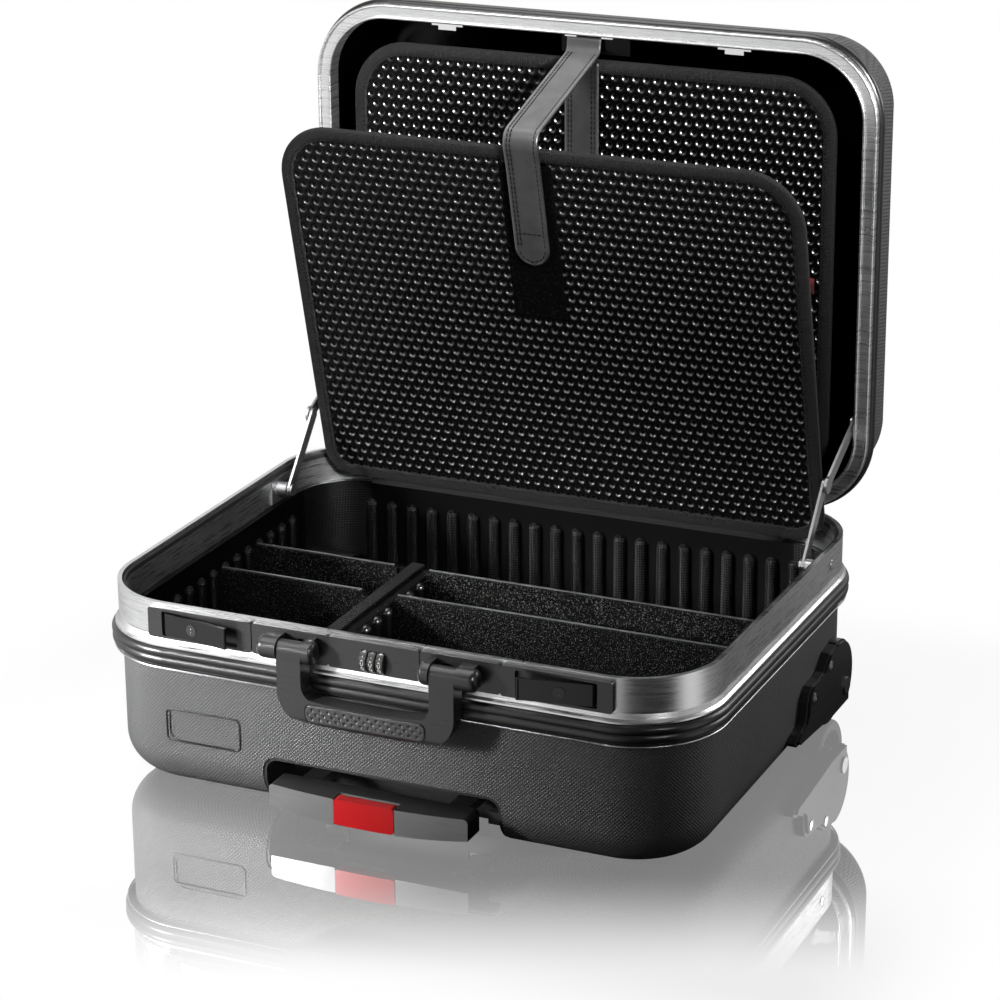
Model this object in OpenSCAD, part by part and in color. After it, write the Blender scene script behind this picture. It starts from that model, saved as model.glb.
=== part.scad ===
// Wheeled hard tool case, lid open, in millimetres.
// Origin: middle of the flat underside. +X to the right, +Y to the back, +Z up.
// The floor lies foot_h below the origin. The lid stands open at a right angle.

/* [Case] */
// Half width of the base rim
case_hw = 250; // [240:1:262]
// Half depth of the base rim
case_hd = 199.1; // [190:0.1:210]
// Corner radius of the base rim, seen from above
corner_r = 67.6; // [60:0.1:76]
// Height of the base rim above the underside
rim_z = 156.3; // [150:0.1:166]
// Wall thickness of the moulded shells
shell_t = 3; // [2.5:0.1:3.5]
// Step of the moulded shell in from the rim
shell_in = 2.5; // [2.4:0.1:3]
// Radius between the sides and the underside
edge_r = 30; // [24:1:32]
// Half width of the flat field on the underside
under_hw = 140; // [120:1:150]
// Half depth of the flat field on the underside
under_hd = 88; // [70:1:92]
// Depth of the groove round it
under_groove = 0.8; // [0.5:0.1:1]

/* [Rim frame] */
// Height of the aluminium band
band_h = 35.1; // [34:0.1:36]
// Flare at the lower edge of the band
band_flare = 3.1; // [2.6:0.1:3.4]
// Sheet thickness of the band
band_t = 2; // [1.6:0.1:2]
// Width of the rim from its outer to its inner face
rim_w = 7; // [6.6:0.1:7.2]
// Width of the bright lip on top of the rim
lip_w = 3.5; // [3.2:0.1:3.6]
// Depth of the seal groove
groove_d = 6.3; // [5.6:0.1:6.4]
// Bulge of the rolled edging below the band
edging_out = 6; // [5:0.1:6.4]
// Height of the rolled edging
edging_h = 16.4; // [15:0.1:17]

/* [Lid] */
// How far the lid face lies inside the rim all round
lid_inset = 3; // [2:0.1:5]
// Depth of the lid
lid_d = 90; // [80:1:110]
// Step of the lid shell in from the lid face
lid_in = 7; // [6:0.1:8]
// Place of the strikers to the sides
striker_x = 126; // [122:1:130]
// Width of a striker
striker_w = 28; // [24:1:32]
// Width of the lid frame's face
lid_face_w = 12.2; // [11.6:0.1:12.6]
// Width of each bright bead of the lid frame
bead_w = 2.5; // [2:0.1:3]
// Gap between the rims when the lid is shut
shut_gap = 0.3; // [0.2:0.1:0.6]

/* [Lid hinge] */
// Height of the hinge line below the rim
hinge_drop = 8.2; // [7.6:0.1:8.6]
// Distance of the hinge line in from the rim's back
hinge_in = 1.1; // [0.8:0.1:1.5]
// Radius of the hinge knuckles
knuckle_r = 3.6; // [3.2:0.1:3.8]
// Radius of the hinge pins
hinge_pin_r = 1.6; // [1.2:0.1:1.9]
// Half width of one hinge
hinge_half = 26; // [20:1:32]
// Distance of the outer hinges from the middle
hinge_x = 150; // [120:5:160]

/* [Tray] */
// Top of the tray's ledge above the underside
tray_z = 128; // [126:0.1:128.5]
// Floor of the tray above the underside
tray_floor = 48; // [46:0.5:56]
// Thickness of the tray's wall
tray_t = 2.6; // [2:0.1:3]
// Distance of the tray's wall in from the rim
tray_in = 9; // [8.6:0.1:9.4]
// Pitch of the tray's upright ribs
rib_pitch = 19.4; // [17:0.1:22]
// Pitch of the ribs on the side walls and on the centre divider
side_pitch = 20.1; // [18:0.1:22]
// Radius of the tray's upright ribs
rib_r = 5.5; // [4.5:0.1:7]
// Height of the top of the ribs
rib_top = 112; // [104:1:116]

/* [Dividers] */
// Height of the top of the dividers
divider_top = 110.7; // [90:0.1:114]
// Distance of the corrugated divider left of the middle
centre_x = -90; // [-110:1:-70]
// Width of the corrugated divider's core
core_w = 24; // [20:1:30]
// How far the corrugated divider runs past the back cross dividers
centre_over = 11.5; // [8:0.5:16]
// Thickness of the cross dividers
divider_t = 6; // [4:0.5:7]

/* [Latches] */
// Inner end of the latch plates to the sides
latch_x0 = 103; // [102:1:108]
// Length of a latch plate
latch_l = 89; // [85:1:90]
// Place of the lever pivots to the sides
lever_pivot_x = 176; // [170:1:178]
// Length of a latch lever
lever_l = 56; // [50:1:58]
// Height of a latch lever
lever_h = 17; // [14:0.5:18]
// Thickness of a latch lever
lever_t = 3.6; // [3:0.1:3.8]
// Angle at which the levers stand off the front
lever_tilt = 10; // [5:1:15]
// Radius of the key cylinders
key_r = 4.6; // [4:0.1:5]
// Distance of the key cylinders from the middle
key_x = 151; // [148:1:156]
// Middle height of the front plates above the underside
plate_z = 141.6; // [141:0.1:142]
// Height of the front plates
plate_h = 24.4; // [23:0.1:25]
// Thickness of the front plates
plate_t = 4.8; // [4.6:0.1:5.2]

/* [Combination lock] */
// Radius of the number dials
dial_r = 9; // [8.4:0.1:9.2]
// Thickness of a number dial
dial_w = 5.4; // [5:0.1:5.8]
// Pitch of the number dials
dial_pitch = 7; // [6.8:0.1:7.4]
// Radius of the dial shaft
dial_pin_r = 1.5; // [1.2:0.1:1.8]

/* [Carry handle] */
// Half width of the carry handle
handle_hw = 73; // [72:0.5:73.5]
// Width of a handle arm
arm_w = 20; // [16:0.5:20.5]
// Depth of the handle from front to back
handle_d = 15; // [13:0.5:15.5]
// Distance of the handle pivot in front of the rim
handle_out = 14; // [13.6:0.1:15]
// Height of the handle pivot above the underside
handle_z = 142; // [141:0.5:143]
// Height of the grip's lowest point above the underside
grip_low = 85; // [80:1:90]
// Height of the grip's bar
grip_bar = 19; // [16:0.5:21]
// Radius of the handle pins
handle_pin_r = 2.5; // [2:0.1:3]

/* [Trolley] */
// Half width of the trolley recess
recess_hw = 100; // [96:1:104]
// Top of the trolley recess above the underside
recess_top = 42; // [38:0.5:43]
// Depth of the trolley recess from the shell's front
recess_d = 46; // [42:1:50]
// Half width of the trolley grip
grip_hw = 83; // [76:1:86]
// Top of the trolley grip above the underside
grip_top = 32; // [28:0.5:33]
// Underside of the trolley grip at its ends
grip_bottom = 14; // [12:0.5:16]
// Half width of the release button
button_hw = 25; // [20:1:28]
// Distance of the trolley tubes from the middle
tube_x = 62; // [54:1:68]
// Width of the outer trolley rails
rail_w = 22; // [20:0.5:24]
// Height of the outer trolley rails
rail_h = 14; // [13:0.5:15]
// Wall of the trolley tubes
tube_t = 1.3; // [1.1:0.1:1.5]
// Length of the outer trolley rails
rail_l = 300; // [280:5:300]

/* [Wheels] */
// Radius of the wheels
wheel_r = 35.5; // [34:0.1:36]
// Width of a wheel
wheel_w = 22; // [18:0.5:23]
// Place of the wheel axles in from the back
axle_in = 57.1; // [55.1:1:61.1]
// Height of the floor below the underside
foot_h = 7; // [6:0.1:8]
// Radius of the wheel axles
axle_r = 4; // [3:0.1:5]
// Half width of a front foot
foot_hw = 32; // [26:1:36]
// Half depth of a front foot
foot_hd = 11; // [9:0.5:13]
// Place of the front feet to the sides
foot_x = 150; // [140:1:155]
// Place of the front feet in from the front
foot_in = 59.1; // [55.1:0.5:63.1]
// Thickness of the wheel guards
guard_t = 9; // [8:0.5:10]

/* [Tool boards] */
// Half width of the front board
board_hw = 226.5; // [220:0.5:227]
// Height of the front board
board_l = 336; // [320:1:338]
// Thickness of the boards
board_t = 6; // [5:0.1:6.5]
// Lean of the front board to the front
board_lean = 14.1; // [12:0.1:16]
// Place of the front board's lower edge in from the back
board_in = 28.1; // [26.1:0.5:31.1]
// Height of the front board's lower edge
board_z = 138; // [137.5:0.1:140]
// Corner radius of the boards
board_r = 48; // [40:1:54]
// Half width of the rear board
rear_hw = 213; // [206:0.5:216]
// Top of the rear board in from the lid's upper edge
rear_up_in = 31.2; // [28.2:0.1:42.2]
// Lower edge of the rear board in from the lid's lower edge
rear_low_in = 33; // [30:0.1:40]
// Place of the strap behind the long one to the side
rear_strap_x = -4.6; // [-8:0.1:8]
// Length of the strap behind the long one
rear_strap_l = 118; // [100:1:130]

/* [Lid stays] */
// Place of a stay's base pivot in from the back
stay_in = 94.1; // [92.1:0.5:96.1]
// Place of the stays in from the sides
stay_side = 20.8; // [20.4:0.1:21.4]
// Height of a stay's base pivot
stay_z = 141.5; // [141:0.1:142]
// Length of a stay's lower link
stay_low_l = 70.5; // [68:0.5:73]
// Lean of a stay's lower link from level
stay_low_a = 49.5; // [48:0.5:51]
// Length of a stay's upper link
stay_up_l = 73.5; // [71:0.5:76]
// Lean of a stay's upper link from level
stay_up_a = 26; // [25:0.5:27]
// Width of a stay's links
stay_w = 10; // [8:0.5:11]
// Thickness of a stay's links
stay_t = 2; // [1.6:0.1:2.2]
// Radius of the stay rivets
stay_rivet_r = 3; // [2.5:0.1:3.4]

/* [Strap] */
// Width of the straps
strap_w = 30; // [26:0.5:34]
// Thickness of the straps
strap_t = 3; // [2.4:0.1:3.6]

/* [Hidden] */
$fn = 48;
fit = 0.3;
case_r = corner_r;
shell_hw = case_hw - shell_in;
shell_hd = case_hd - shell_in;
shell_r = case_r - shell_in;
shell_top = rim_z - 29.3;
band_z = rim_z - band_h;
rim_in = rim_w;
floor_z = -foot_h;
axle_z = wheel_r - foot_h;
axle_y = case_hd - axle_in;
board_y = case_hd - board_in;
stay_y = case_hd - stay_in;
lid_hw = case_hw - lid_inset;
lid_hd = case_hd - lid_inset;
lid_r = case_r - lid_inset;
hinge_y = case_hd - hinge_in;
hinge_z = rim_z - hinge_drop;
lid_y = hinge_y + hinge_drop + shut_gap;
lid_cz = hinge_z + hinge_y;
rear_top = lid_cz + lid_hd - rear_up_in;
rear_low = lid_cz - lid_hd + rear_low_in;
front_y = -case_hd;
plate_y = front_y - plate_t;
lever_y = front_y - 1.6;
pivot_y = front_y - handle_out;
dial_y = front_y - 1.4;
dial_z = plate_z - 2.8;
tray_hw = case_hw - tray_in;
tray_hd = case_hd - tray_in;
tray_r = case_r - tray_in;
rib_y = tray_hd - tray_t;
rib_x = tray_hw - tray_t;
back_divider_y = 2.5 * side_pitch;
front_divider_y = -0.5 * side_pitch;
arch_r = wheel_r + 9;
wheel_in_x = shell_hw - wheel_w - 3.5;
grip_back = -(shell_hd + 2);
grip_front = -(shell_hd + 23);
recess_y = -(shell_hd - recess_d);
rail_z = (grip_top + grip_bottom) / 2;
rail_y0 = recess_y + 3.5;
mid_l = rail_l - 14;
inner_l = mid_l - 14;
lid_iy = lid_hd - lid_face_w;
stay_x = case_hw - stay_side;
link_gap = 0.4;
elbow_y = stay_y + stay_low_l * cos(stay_low_a);
elbow_z = stay_z + stay_low_l * sin(stay_low_a);
lidpin_y = elbow_y + stay_up_l * cos(stay_up_a);
lidpin_z = elbow_z + stay_up_l * sin(stay_up_a);
rear_y = lid_y + 1.2;

// ---- helpers ----

// Sweeps a profile round a rounded rectangle: x of the profile is measured
// outward from the rectangle, y is the height.
module sweep(hw, hd, r, y_sides = true) {
    for (s = [0, 180]) rotate([0, 0, s]) {
        translate([hw, hd - r, 0]) rotate([90, 0, 0])
            linear_extrude(2 * (hd - r)) children();
        translate([hw - r, hd - r, 0])
            rotate_extrude(angle = 90) translate([r, 0]) children();
        if (y_sides) {
            rotate([0, 0, 90]) translate([hd, hw - r, 0]) rotate([90, 0, 0])
                linear_extrude(2 * (hw - r)) children();
            rotate([0, 0, 90]) translate([hd - r, hw - r, 0])
                rotate_extrude(angle = 90) translate([r, 0]) children();
        }
    }
}

// Rounded rectangle in the plane.
module rrect(hw, hd, r) {
    union() {
        square([2 * hw, 2 * (hd - r)], center = true);
        square([2 * (hw - r), 2 * hd], center = true);
        for (x = [-1, 1], y = [-1, 1])
            translate([x * (hw - r), y * (hd - r)]) circle(r = r);
    }
}

// Wall of a pan: a quarter round below and an upright above.
module pan_wall(round_r, wall, top) {
    difference() {
        union() {
            translate([-round_r, round_r]) square([round_r, top - round_r]);
            intersection() {
                translate([-round_r, round_r]) circle(r = round_r);
                translate([-round_r, 0]) square([round_r, round_r + 1]);
            }
        }
        translate([-round_r, round_r]) circle(r = round_r - wall);
        translate([-round_r - 1, round_r]) square([round_r + 1 - wall, top]);
    }
}

// Open pan with rounded corners and a rounded bottom edge, floor at height 0.
module pan(hw, hd, r, round_r, wall, top) {
    sweep(hw, hd, r) pan_wall(round_r, wall, top);
    linear_extrude(wall) rrect(hw - round_r, hd - round_r, r - round_r);
}

// Places lid geometry: x as the case, y down the open lid, z into its depth.
module on_lid() {
    translate([0, lid_y, lid_cz]) rotate([-90, 0, 0]) children();
}

// Cylinder along X between two places.
module xcyl(r, x0, x1, y, z) {
    translate([x0, y, z]) rotate([0, 90, 0]) cylinder(r = r, h = x1 - x0);
}

// Cylinder along Y between two places.
module ycyl(r, y0, y1, x, z) {
    translate([x, y1, z]) rotate([90, 0, 0]) cylinder(r = r, h = y1 - y0);
}

// Box from two corners.
module box(a, b) {
    translate(a) cube(b - a);
}

// Plate in the XZ plane with rounded corners, between two depths.
module front_plate(x0, x1, z0, z1, y0, y1, r) {
    translate([0, y1, 0]) rotate([90, 0, 0]) linear_extrude(y1 - y0)
        translate([(x0 + x1) / 2, (z0 + z1) / 2])
            rrect((x1 - x0) / 2, (z1 - z0) / 2, r);
}

// Draws a child at the right and its mirror at the left.
module pair() {
    children();
    mirror([1, 0, 0]) children();
}

// ---- base ----

module wheel_well(r, x0) {
    xcyl(r, x0, case_hw + 20, axle_y, axle_z);
    box([x0, axle_y - r, -5], [case_hw + 20, axle_y + r, axle_z]);
}

module recess_form(grow, y_back, y_front) {
    // Trolley recess: rounded upper corners, open below.
    translate([0, y_back, 0]) rotate([90, 0, 0]) linear_extrude(y_back - y_front)
        union() {
            translate([-recess_hw - grow, -20])
                square([2 * (recess_hw + grow), recess_top + 8 + grow]);
            intersection() {
                translate([0, recess_top - 30]) rrect(recess_hw + grow, 30 + grow, 12 + grow);
                translate([-recess_hw - grow, recess_top - 18])
                    square([2 * (recess_hw + grow), 19 + grow]);
            }
        }
}

// Solid outer form of the shell, used to trim what must not stand out of it.
module shell_form(grow) {
    translate([0, 0, -grow]) {
        sweep(shell_hw + grow, shell_hd + grow, shell_r + grow)
            pan_wall(edge_r + grow, edge_r + grow - 0.01, shell_top);
        linear_extrude(shell_top) rrect(shell_hw - edge_r, shell_hd - edge_r, shell_r - edge_r);
    }
}

module base_shell() color([0.09, 0.09, 0.10]) difference() {
    union() {
        difference() {
            pan(shell_hw, shell_hd, shell_r, edge_r, shell_t, shell_top);
            pair() wheel_well(wheel_r + 3, wheel_in_x - 2);
        }
        // Liners of the wheel wells, trimmed to the shell's own form.
        intersection() {
            pair() difference() {
                wheel_well(wheel_r + 5.5, wheel_in_x - 4.5);
                wheel_well(wheel_r + 3, wheel_in_x - 2);
            }
            shell_form(-0.5);
            box([-shell_hw, 0, 0], [shell_hw, shell_hd, 90]);
        }
    }
    recess_form(fit, recess_y + 3.5, -shell_hd - 5);
    // Moulded groove round the flat middle field of the underside.
    translate([0, 0, -1]) linear_extrude(1 + under_groove) difference() {
        rrect(under_hw + 3, under_hd + 3, 18);
        rrect(under_hw, under_hd, 15);
    }
    // Shallow label field on the front.
    front_plate(-181, -119, 42.5, 71, -shell_hd - 1, -shell_hd + 0.8, 8);
}

module base_edging() color([0.13, 0.13, 0.14]) sweep(case_hw, case_hd, case_r)
    difference() {
        translate([0, band_z - edging_h - fit]) intersection() {
            union() {
                translate([edging_out - 4.4, edging_h - 4.4]) circle(r = 4.4);
                translate([edging_out - 5.2, 5.4]) circle(r = 5);
                translate([-4, 0]) square([edging_out, edging_h]);
            }
            translate([-4, 0]) square([30, edging_h]);
        }
        translate([-10, 0]) square([10 - shell_in + fit, rim_z]);
    }

module frame_profile() {
    lip_z = rim_z - groove_d;
    polygon([
        [0, rim_z], [-lip_w, rim_z], [-lip_w, lip_z], [-rim_in, lip_z],
        [-rim_in, tray_z + fit], [-rim_in + 1.6, tray_z + fit],
        [-rim_in + 1.6, lip_z - 1.8], [-band_t, lip_z - 1.8],
        [-band_t, band_z + 8], [band_flare - 2, band_z + 1], [band_flare - 2, band_z],
        [band_flare, band_z], [band_flare, band_z + 1.4],
        [band_flare - 1.6, band_z + 3.4], [0, band_z + 7.5]
    ]);
}

module base_frame() color([0.75, 0.75, 0.76]) difference() {
    sweep(case_hw, case_hd, case_r) frame_profile();
    // Pockets for the hinges.
    for (x = [-hinge_x, 0, hinge_x])
        box([x - hinge_half - 1, hinge_y - knuckle_r - 1, hinge_z - knuckle_r - 1],
            [x + hinge_half + 1, case_hd + 5, rim_z + 1]);
    // Pocket for the number dials.
    box([-13.2, front_y - 4, dial_z - dial_r - 0.8],
        [12.8, front_y + rim_in + 1, dial_z + dial_r + 0.8]);
}

module base_seal() color([0.05, 0.05, 0.05]) difference() {
    sweep(case_hw, case_hd, case_r) translate([-rim_in + fit, rim_z - groove_d]) union() {
        square([rim_in - lip_w - 2 * fit, 3]);
        translate([(rim_in - lip_w - 2 * fit) / 2, 3])
            circle(r = (rim_in - lip_w - 2 * fit) / 2);
    }
    for (x = [-hinge_x, 0, hinge_x])
        box([x - hinge_half - 1, hinge_y - knuckle_r - 1, hinge_z - knuckle_r - 1],
            [x + hinge_half + 1, case_hd + 5, rim_z + 1]);
}

// ---- tray ----

module arch(r) {
    xcyl(r, 192, case_hw, axle_y, axle_z);
}

module upright_rib(z0, z1) {
    translate([0, 0, z0]) cylinder(r = rib_r, h = z1 - z0, $fn = 24);
    translate([0, 0, z1]) sphere(r = rib_r, $fn = 24);
}

rib_h = rib_top - rib_r;
back_ribs = floor((tray_hw - 40) / rib_pitch);
side_ribs = floor((tray_hd - 50) / side_pitch);

module base_tray() color([0.07, 0.07, 0.075]) difference() {
    union() {
        difference() {
            translate([0, 0, tray_floor - tray_t])
                pan(tray_hw, tray_hd, tray_r, 10, tray_t, tray_z - tray_floor + tray_t);
            pair() arch(arch_r - tray_t);
        }
        // Ledge that carries the tray on the shell.
        sweep(case_hw, case_hd, case_r) translate([-tray_in - tray_t, tray_z - 3])
            square([tray_in + tray_t - shell_in - shell_t - 2 * fit, 3]);
        // Ribs on the back, front and side walls.
        intersection() {
            union() {
                for (i = [-back_ribs : back_ribs], s = [-1, 1])
                    translate([i * rib_pitch, s * (rib_y + 0.5), 0])
                        upright_rib(tray_floor - 1, rib_h);
                for (i = [-side_ribs : side_ribs], s = [-1, 1])
                    translate([s * (rib_x + 0.5), i * side_pitch, 0])
                        upright_rib(tray_floor - 1, rib_h);
            }
            translate([0, 0, tray_floor - 1])
                linear_extrude(100) rrect(rib_x + 0.5, rib_y + 0.5, tray_r - tray_t);
        }
        // Arches over the wheels.
        intersection() {
            pair() difference() {
                arch(arch_r);
                xcyl(arch_r - tray_t, 192 + tray_t, case_hw, axle_y, axle_z);
            }
            translate([0, 0, tray_floor - 0.5])
                linear_extrude(60) rrect(tray_hw - 1, tray_hd - 1, tray_r - 1);
        }
    }
    pair() translate([tray_t, 0, 0]) arch(arch_r - tray_t);
}

centre_y = rib_y - rib_r + 0.5 - fit;
divider_low = tray_floor + fit;

module centre_divider() color([0.08, 0.08, 0.085]) {
    n = floor((centre_y - rib_r) / side_pitch);
    centre_end = back_divider_y + centre_over;
    box([centre_x - core_w / 2, -centre_y, divider_low],
        [centre_x + core_w / 2, centre_end, divider_top]);
    intersection() {
        for (i = [-n : n], s = [-1, 1])
            translate([centre_x + s * (core_w / 2 - 0.5), i * side_pitch, 0])
                upright_rib(divider_low, divider_top - rib_r);
        box([centre_x - 60, -centre_y, divider_low], [centre_x + 60, centre_end, 200]);
    }
}

// Cross divider: felt board with a thin metal edge on top.
module cross_divider(x0, x1, y) {
    translate([x0, y + divider_t / 2, 0]) rotate([90, 0, 0]) linear_extrude(divider_t)
        union() {
            polygon([
                [8, divider_low], [x1 - x0 - 8, divider_low], [x1 - x0, divider_low + 8],
                [x1 - x0, divider_top - 5], [0, divider_top - 5], [0, divider_low + 8]
            ]);
            translate([5, divider_top - 20]) square([x1 - x0 - 10, 20]);
            for (x = [5, x1 - x0 - 5]) translate([x, divider_top - 5]) circle(r = 5);
        }
    box([x0 + 4, y - 0.6, divider_top - 0.5], [x1 - 4, y + 0.6, divider_top + 1]);
}

left_end = -rib_x + fit;
right_end = rib_x - fit;
left_wall = centre_x - core_w / 2 - fit;
right_wall = centre_x + core_w / 2 + fit;

module divider_back_left() color([0.16, 0.16, 0.17])
    cross_divider(left_end, left_wall, back_divider_y);
module divider_back_right() color([0.16, 0.16, 0.17])
    cross_divider(right_wall, right_end, back_divider_y);
module divider_front_left() color([0.16, 0.16, 0.17])
    cross_divider(left_end, left_wall, front_divider_y);
module divider_front_right() color([0.16, 0.16, 0.17])
    cross_divider(right_wall, right_end, front_divider_y);

// ---- trolley ----

module trolley_housing() color([0.06, 0.06, 0.065]) {
    y0 = recess_y + 3.2;
    difference() {
        intersection() {
            recess_form(0, y0, -shell_hd + 1);
            shell_form(-0.5);
        }
        recess_form(-2.4, recess_y, -shell_hd - 5);
        for (s = [-1, 1])
            box([s * tube_x - rail_w / 2, recess_y - 5, rail_z - rail_h / 2],
                [s * tube_x + rail_w / 2, y0 + 5, rail_z + rail_h / 2]);
    }
    // Locating tab at the right of the recess.
    box([recess_hw - 11, -shell_hd + 1, 20], [recess_hw - 2, -shell_hd + 8, 30]);
}

module tube_pair(w, h, wall, y0, y1) {
    for (s = [-1, 1]) difference() {
        box([s * tube_x - w / 2, y0, rail_z - h / 2], [s * tube_x + w / 2, y1, rail_z + h / 2]);
        box([s * tube_x - w / 2 + wall, y0 - 1, rail_z - h / 2 + wall],
            [s * tube_x + w / 2 - wall, y1 + 1, rail_z + h / 2 - wall]);
    }
}

step_w = 2 * tube_t + 0.5;
mid_w = rail_w - step_w;
mid_h = rail_h - step_w;
inner_w = mid_w - step_w;
inner_h = mid_h - step_w;

module trolley_rails() color([0.6, 0.6, 0.62]) {
    tube_pair(rail_w, rail_h, tube_t, rail_y0, rail_y0 + rail_l);
    // Clamps that hold the rails on the underside.
    for (y = [rail_y0 + 30, rail_y0 + rail_l - 40]) for (s = [-1, 1]) {
        box([s * tube_x - rail_w / 2 - 6, y, shell_t],
            [s * tube_x + rail_w / 2 + 6, y + 14, rail_z - rail_h / 2]);
    }
}

module trolley_mid_tubes() color([0.72, 0.72, 0.74])
    tube_pair(mid_w, mid_h, tube_t, rail_y0 - 1.5, rail_y0 - 1.5 + mid_l);

module trolley_inner_tubes() color([0.78, 0.78, 0.8])
    for (s = [-1, 1])
        box([s * tube_x - inner_w / 2, grip_back - 3, rail_z - inner_h / 2],
            [s * tube_x + inner_w / 2, rail_y0 + inner_l, rail_z + inner_h / 2]);

// Trolley grip: its front and its underside both bow outward to the middle.
module grip_plan(grow) {
    bow_r = 500;
    intersection() {
        translate([0, grip_front - 7 + bow_r - grow]) circle(r = bow_r, $fn = 180);
        translate([-grip_hw, grip_front - 8]) square([2 * grip_hw, grip_back - grip_front + 8]);
    }
}

module grip_face() {
    bow_r = 900;
    intersection() {
        translate([0, grip_bottom - 3.6 + bow_r]) circle(r = bow_r, $fn = 240);
        translate([0, grip_top - 20]) rrect(grip_hw, 20, 4);
        translate([-grip_hw, 0]) square([2 * grip_hw, grip_top]);
    }
}

module trolley_grip() color([0.10, 0.10, 0.105]) difference() {
    intersection() {
        translate([0, 0, -5]) linear_extrude(60) grip_plan(0);
        translate([0, grip_back, 0]) rotate([90, 0, 0]) linear_extrude(60) grip_face();
    }
    // Seat of the release button.
    box([-button_hw - fit, grip_front - 20, 0], [button_hw + fit, grip_back - 15, grip_top + 5]);
    for (s = [-1, 1])
        box([s * tube_x - inner_w / 2, grip_back - 3, rail_z - inner_h / 2],
            [s * tube_x + inner_w / 2, grip_back + 5, rail_z + inner_h / 2]);
}

module trolley_button() color([0.75, 0.05, 0.06]) intersection() {
    union() {
        translate([0, 0, 5]) linear_extrude(grip_top - 4.4) intersection() {
            grip_plan(0.6);
            translate([-button_hw, grip_front - 20]) square([2 * button_hw, 40]);
        }
    }
    translate([0, grip_back - 19.5, 0]) rotate([90, 0, 0]) linear_extrude(60) union() {
        translate([0, (grip_bottom - 2.4 + grip_top + 0.6) / 2])
            rrect(button_hw, (grip_top - grip_bottom + 3) / 2, 2.5);
    }
}

// ---- wheels ----

module wheel_right() color([0.05, 0.05, 0.05]) difference() {
    translate([wheel_in_x, axle_y, axle_z]) rotate([90, 0, 90]) rotate_extrude($fn = 96)
        difference() {
            union() {
                translate([axle_r + 0.08, 3]) square([8, wheel_w - 3]);
                translate([axle_r + 4, wheel_w / 2 - 2]) square([wheel_r - axle_r - 8, 4]);
                translate([wheel_r - 8.5, 3]) square([8.5, wheel_w - 6]);
                translate([wheel_r - 8.5, 0]) square([5.5, wheel_w]);
                for (z = [3, wheel_w - 3]) translate([wheel_r - 3, z]) circle(r = 3);
            }
            translate([wheel_r - 0.8, wheel_w / 2 - 1]) square([2, 2]);
        }
    for (k = [0 : 5]) translate([wheel_in_x - 1, axle_y, axle_z]) rotate([k * 60, 0, 0])
        translate([0, 0, 19.5]) rotate([0, 90, 0]) cylinder(r = 4, h = wheel_w + 2);
}

module wheel_left() mirror([1, 0, 0]) wheel_right();

module wheel_axles() color([0.7, 0.7, 0.72]) pair() {
    xcyl(axle_r, wheel_in_x - 2, shell_hw + guard_t, axle_y, axle_z);
    xcyl(7, shell_hw + guard_t, shell_hw + guard_t + 1.5, axle_y, axle_z);
    xcyl(axle_r + 3, wheel_in_x - 2, wheel_in_x - 0.4, axle_y, axle_z);
}

// Wheel guard: outline in the YZ plane, rounded over the wheel.
module guard_outline() {
    union() {
        polygon([
            [axle_y - 120, 24], [axle_y - 112, 28.5], [axle_y - 105.5, 29.5],
            [axle_y - 99, 31.5], [axle_y - 94, 36], [axle_y - 92, 48], [axle_y - 88.5, 55],
            [axle_y - 82, 58.5], [axle_y - 66, 58.8], [axle_y - 55, 60.5],
            [axle_y - 47, 66], [axle_y - 40, 71], [axle_y - 16, 73],
            [axle_y, 40], [axle_y, 13], [axle_y - 33, 13], [axle_y - 76, 17],
            [axle_y - 102, 19], [axle_y - 116, 20]
        ]);
        intersection() {
            translate([axle_y - 18, 40]) circle(r = 33.5);
            translate([axle_y - 22, 13]) square([60, 80]);
        }
        translate([axle_y - 22, 13]) square([30, 30]);
    }
}

module wheel_guard_right() color([0.10, 0.10, 0.105]) difference() {
    union() {
        translate([shell_hw + fit, 0, 0]) rotate([90, 0, 90])
            linear_extrude(guard_t - 2.4) guard_outline();
        // Outer skin, drawn in a little all round.
        translate([shell_hw + fit + guard_t - 2.4, axle_y, axle_z]) rotate([90, 0, 90])
            linear_extrude(2.1) scale(0.955) translate([-axle_y, -axle_z]) guard_outline();
    }
    xcyl(axle_r + 0.05, shell_hw - 5, shell_hw + guard_t + 5, axle_y, axle_z);
}

module wheel_guard_left() mirror([1, 0, 0]) wheel_guard_right();

module front_feet() color([0.04, 0.04, 0.04]) for (s = [-1, 1])
    translate([s * foot_x, -(case_hd - foot_in), -foot_h]) union() {
        translate([0, 0, 1]) linear_extrude(foot_h - 1) rrect(foot_hw, foot_hd, foot_hd - 1);
        linear_extrude(1) rrect(foot_hw - 1.5, foot_hd - 1.5, foot_hd - 2.5);
    }

module rivet_head(x, y, z, r) {
    // Shallow domed head that sits on the right-hand side.
    translate([x, y, z]) rotate([0, 90, 0]) intersection() {
        translate([0, 0, -3 * r + 1.6]) sphere(r = 3 * r);
        cylinder(r = r, h = 4);
    }
}

module side_rivets() color([0.8, 0.8, 0.82]) pair() {
    rivet_head(case_hw, 115, plate_z, 4);
    rivet_head(shell_hw + guard_t - fit * 0, 100, 61, 4.5);
    rivet_head(shell_hw + guard_t - fit * 0, 62, 48, 4.5);
}

// ---- hinges ----

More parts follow.
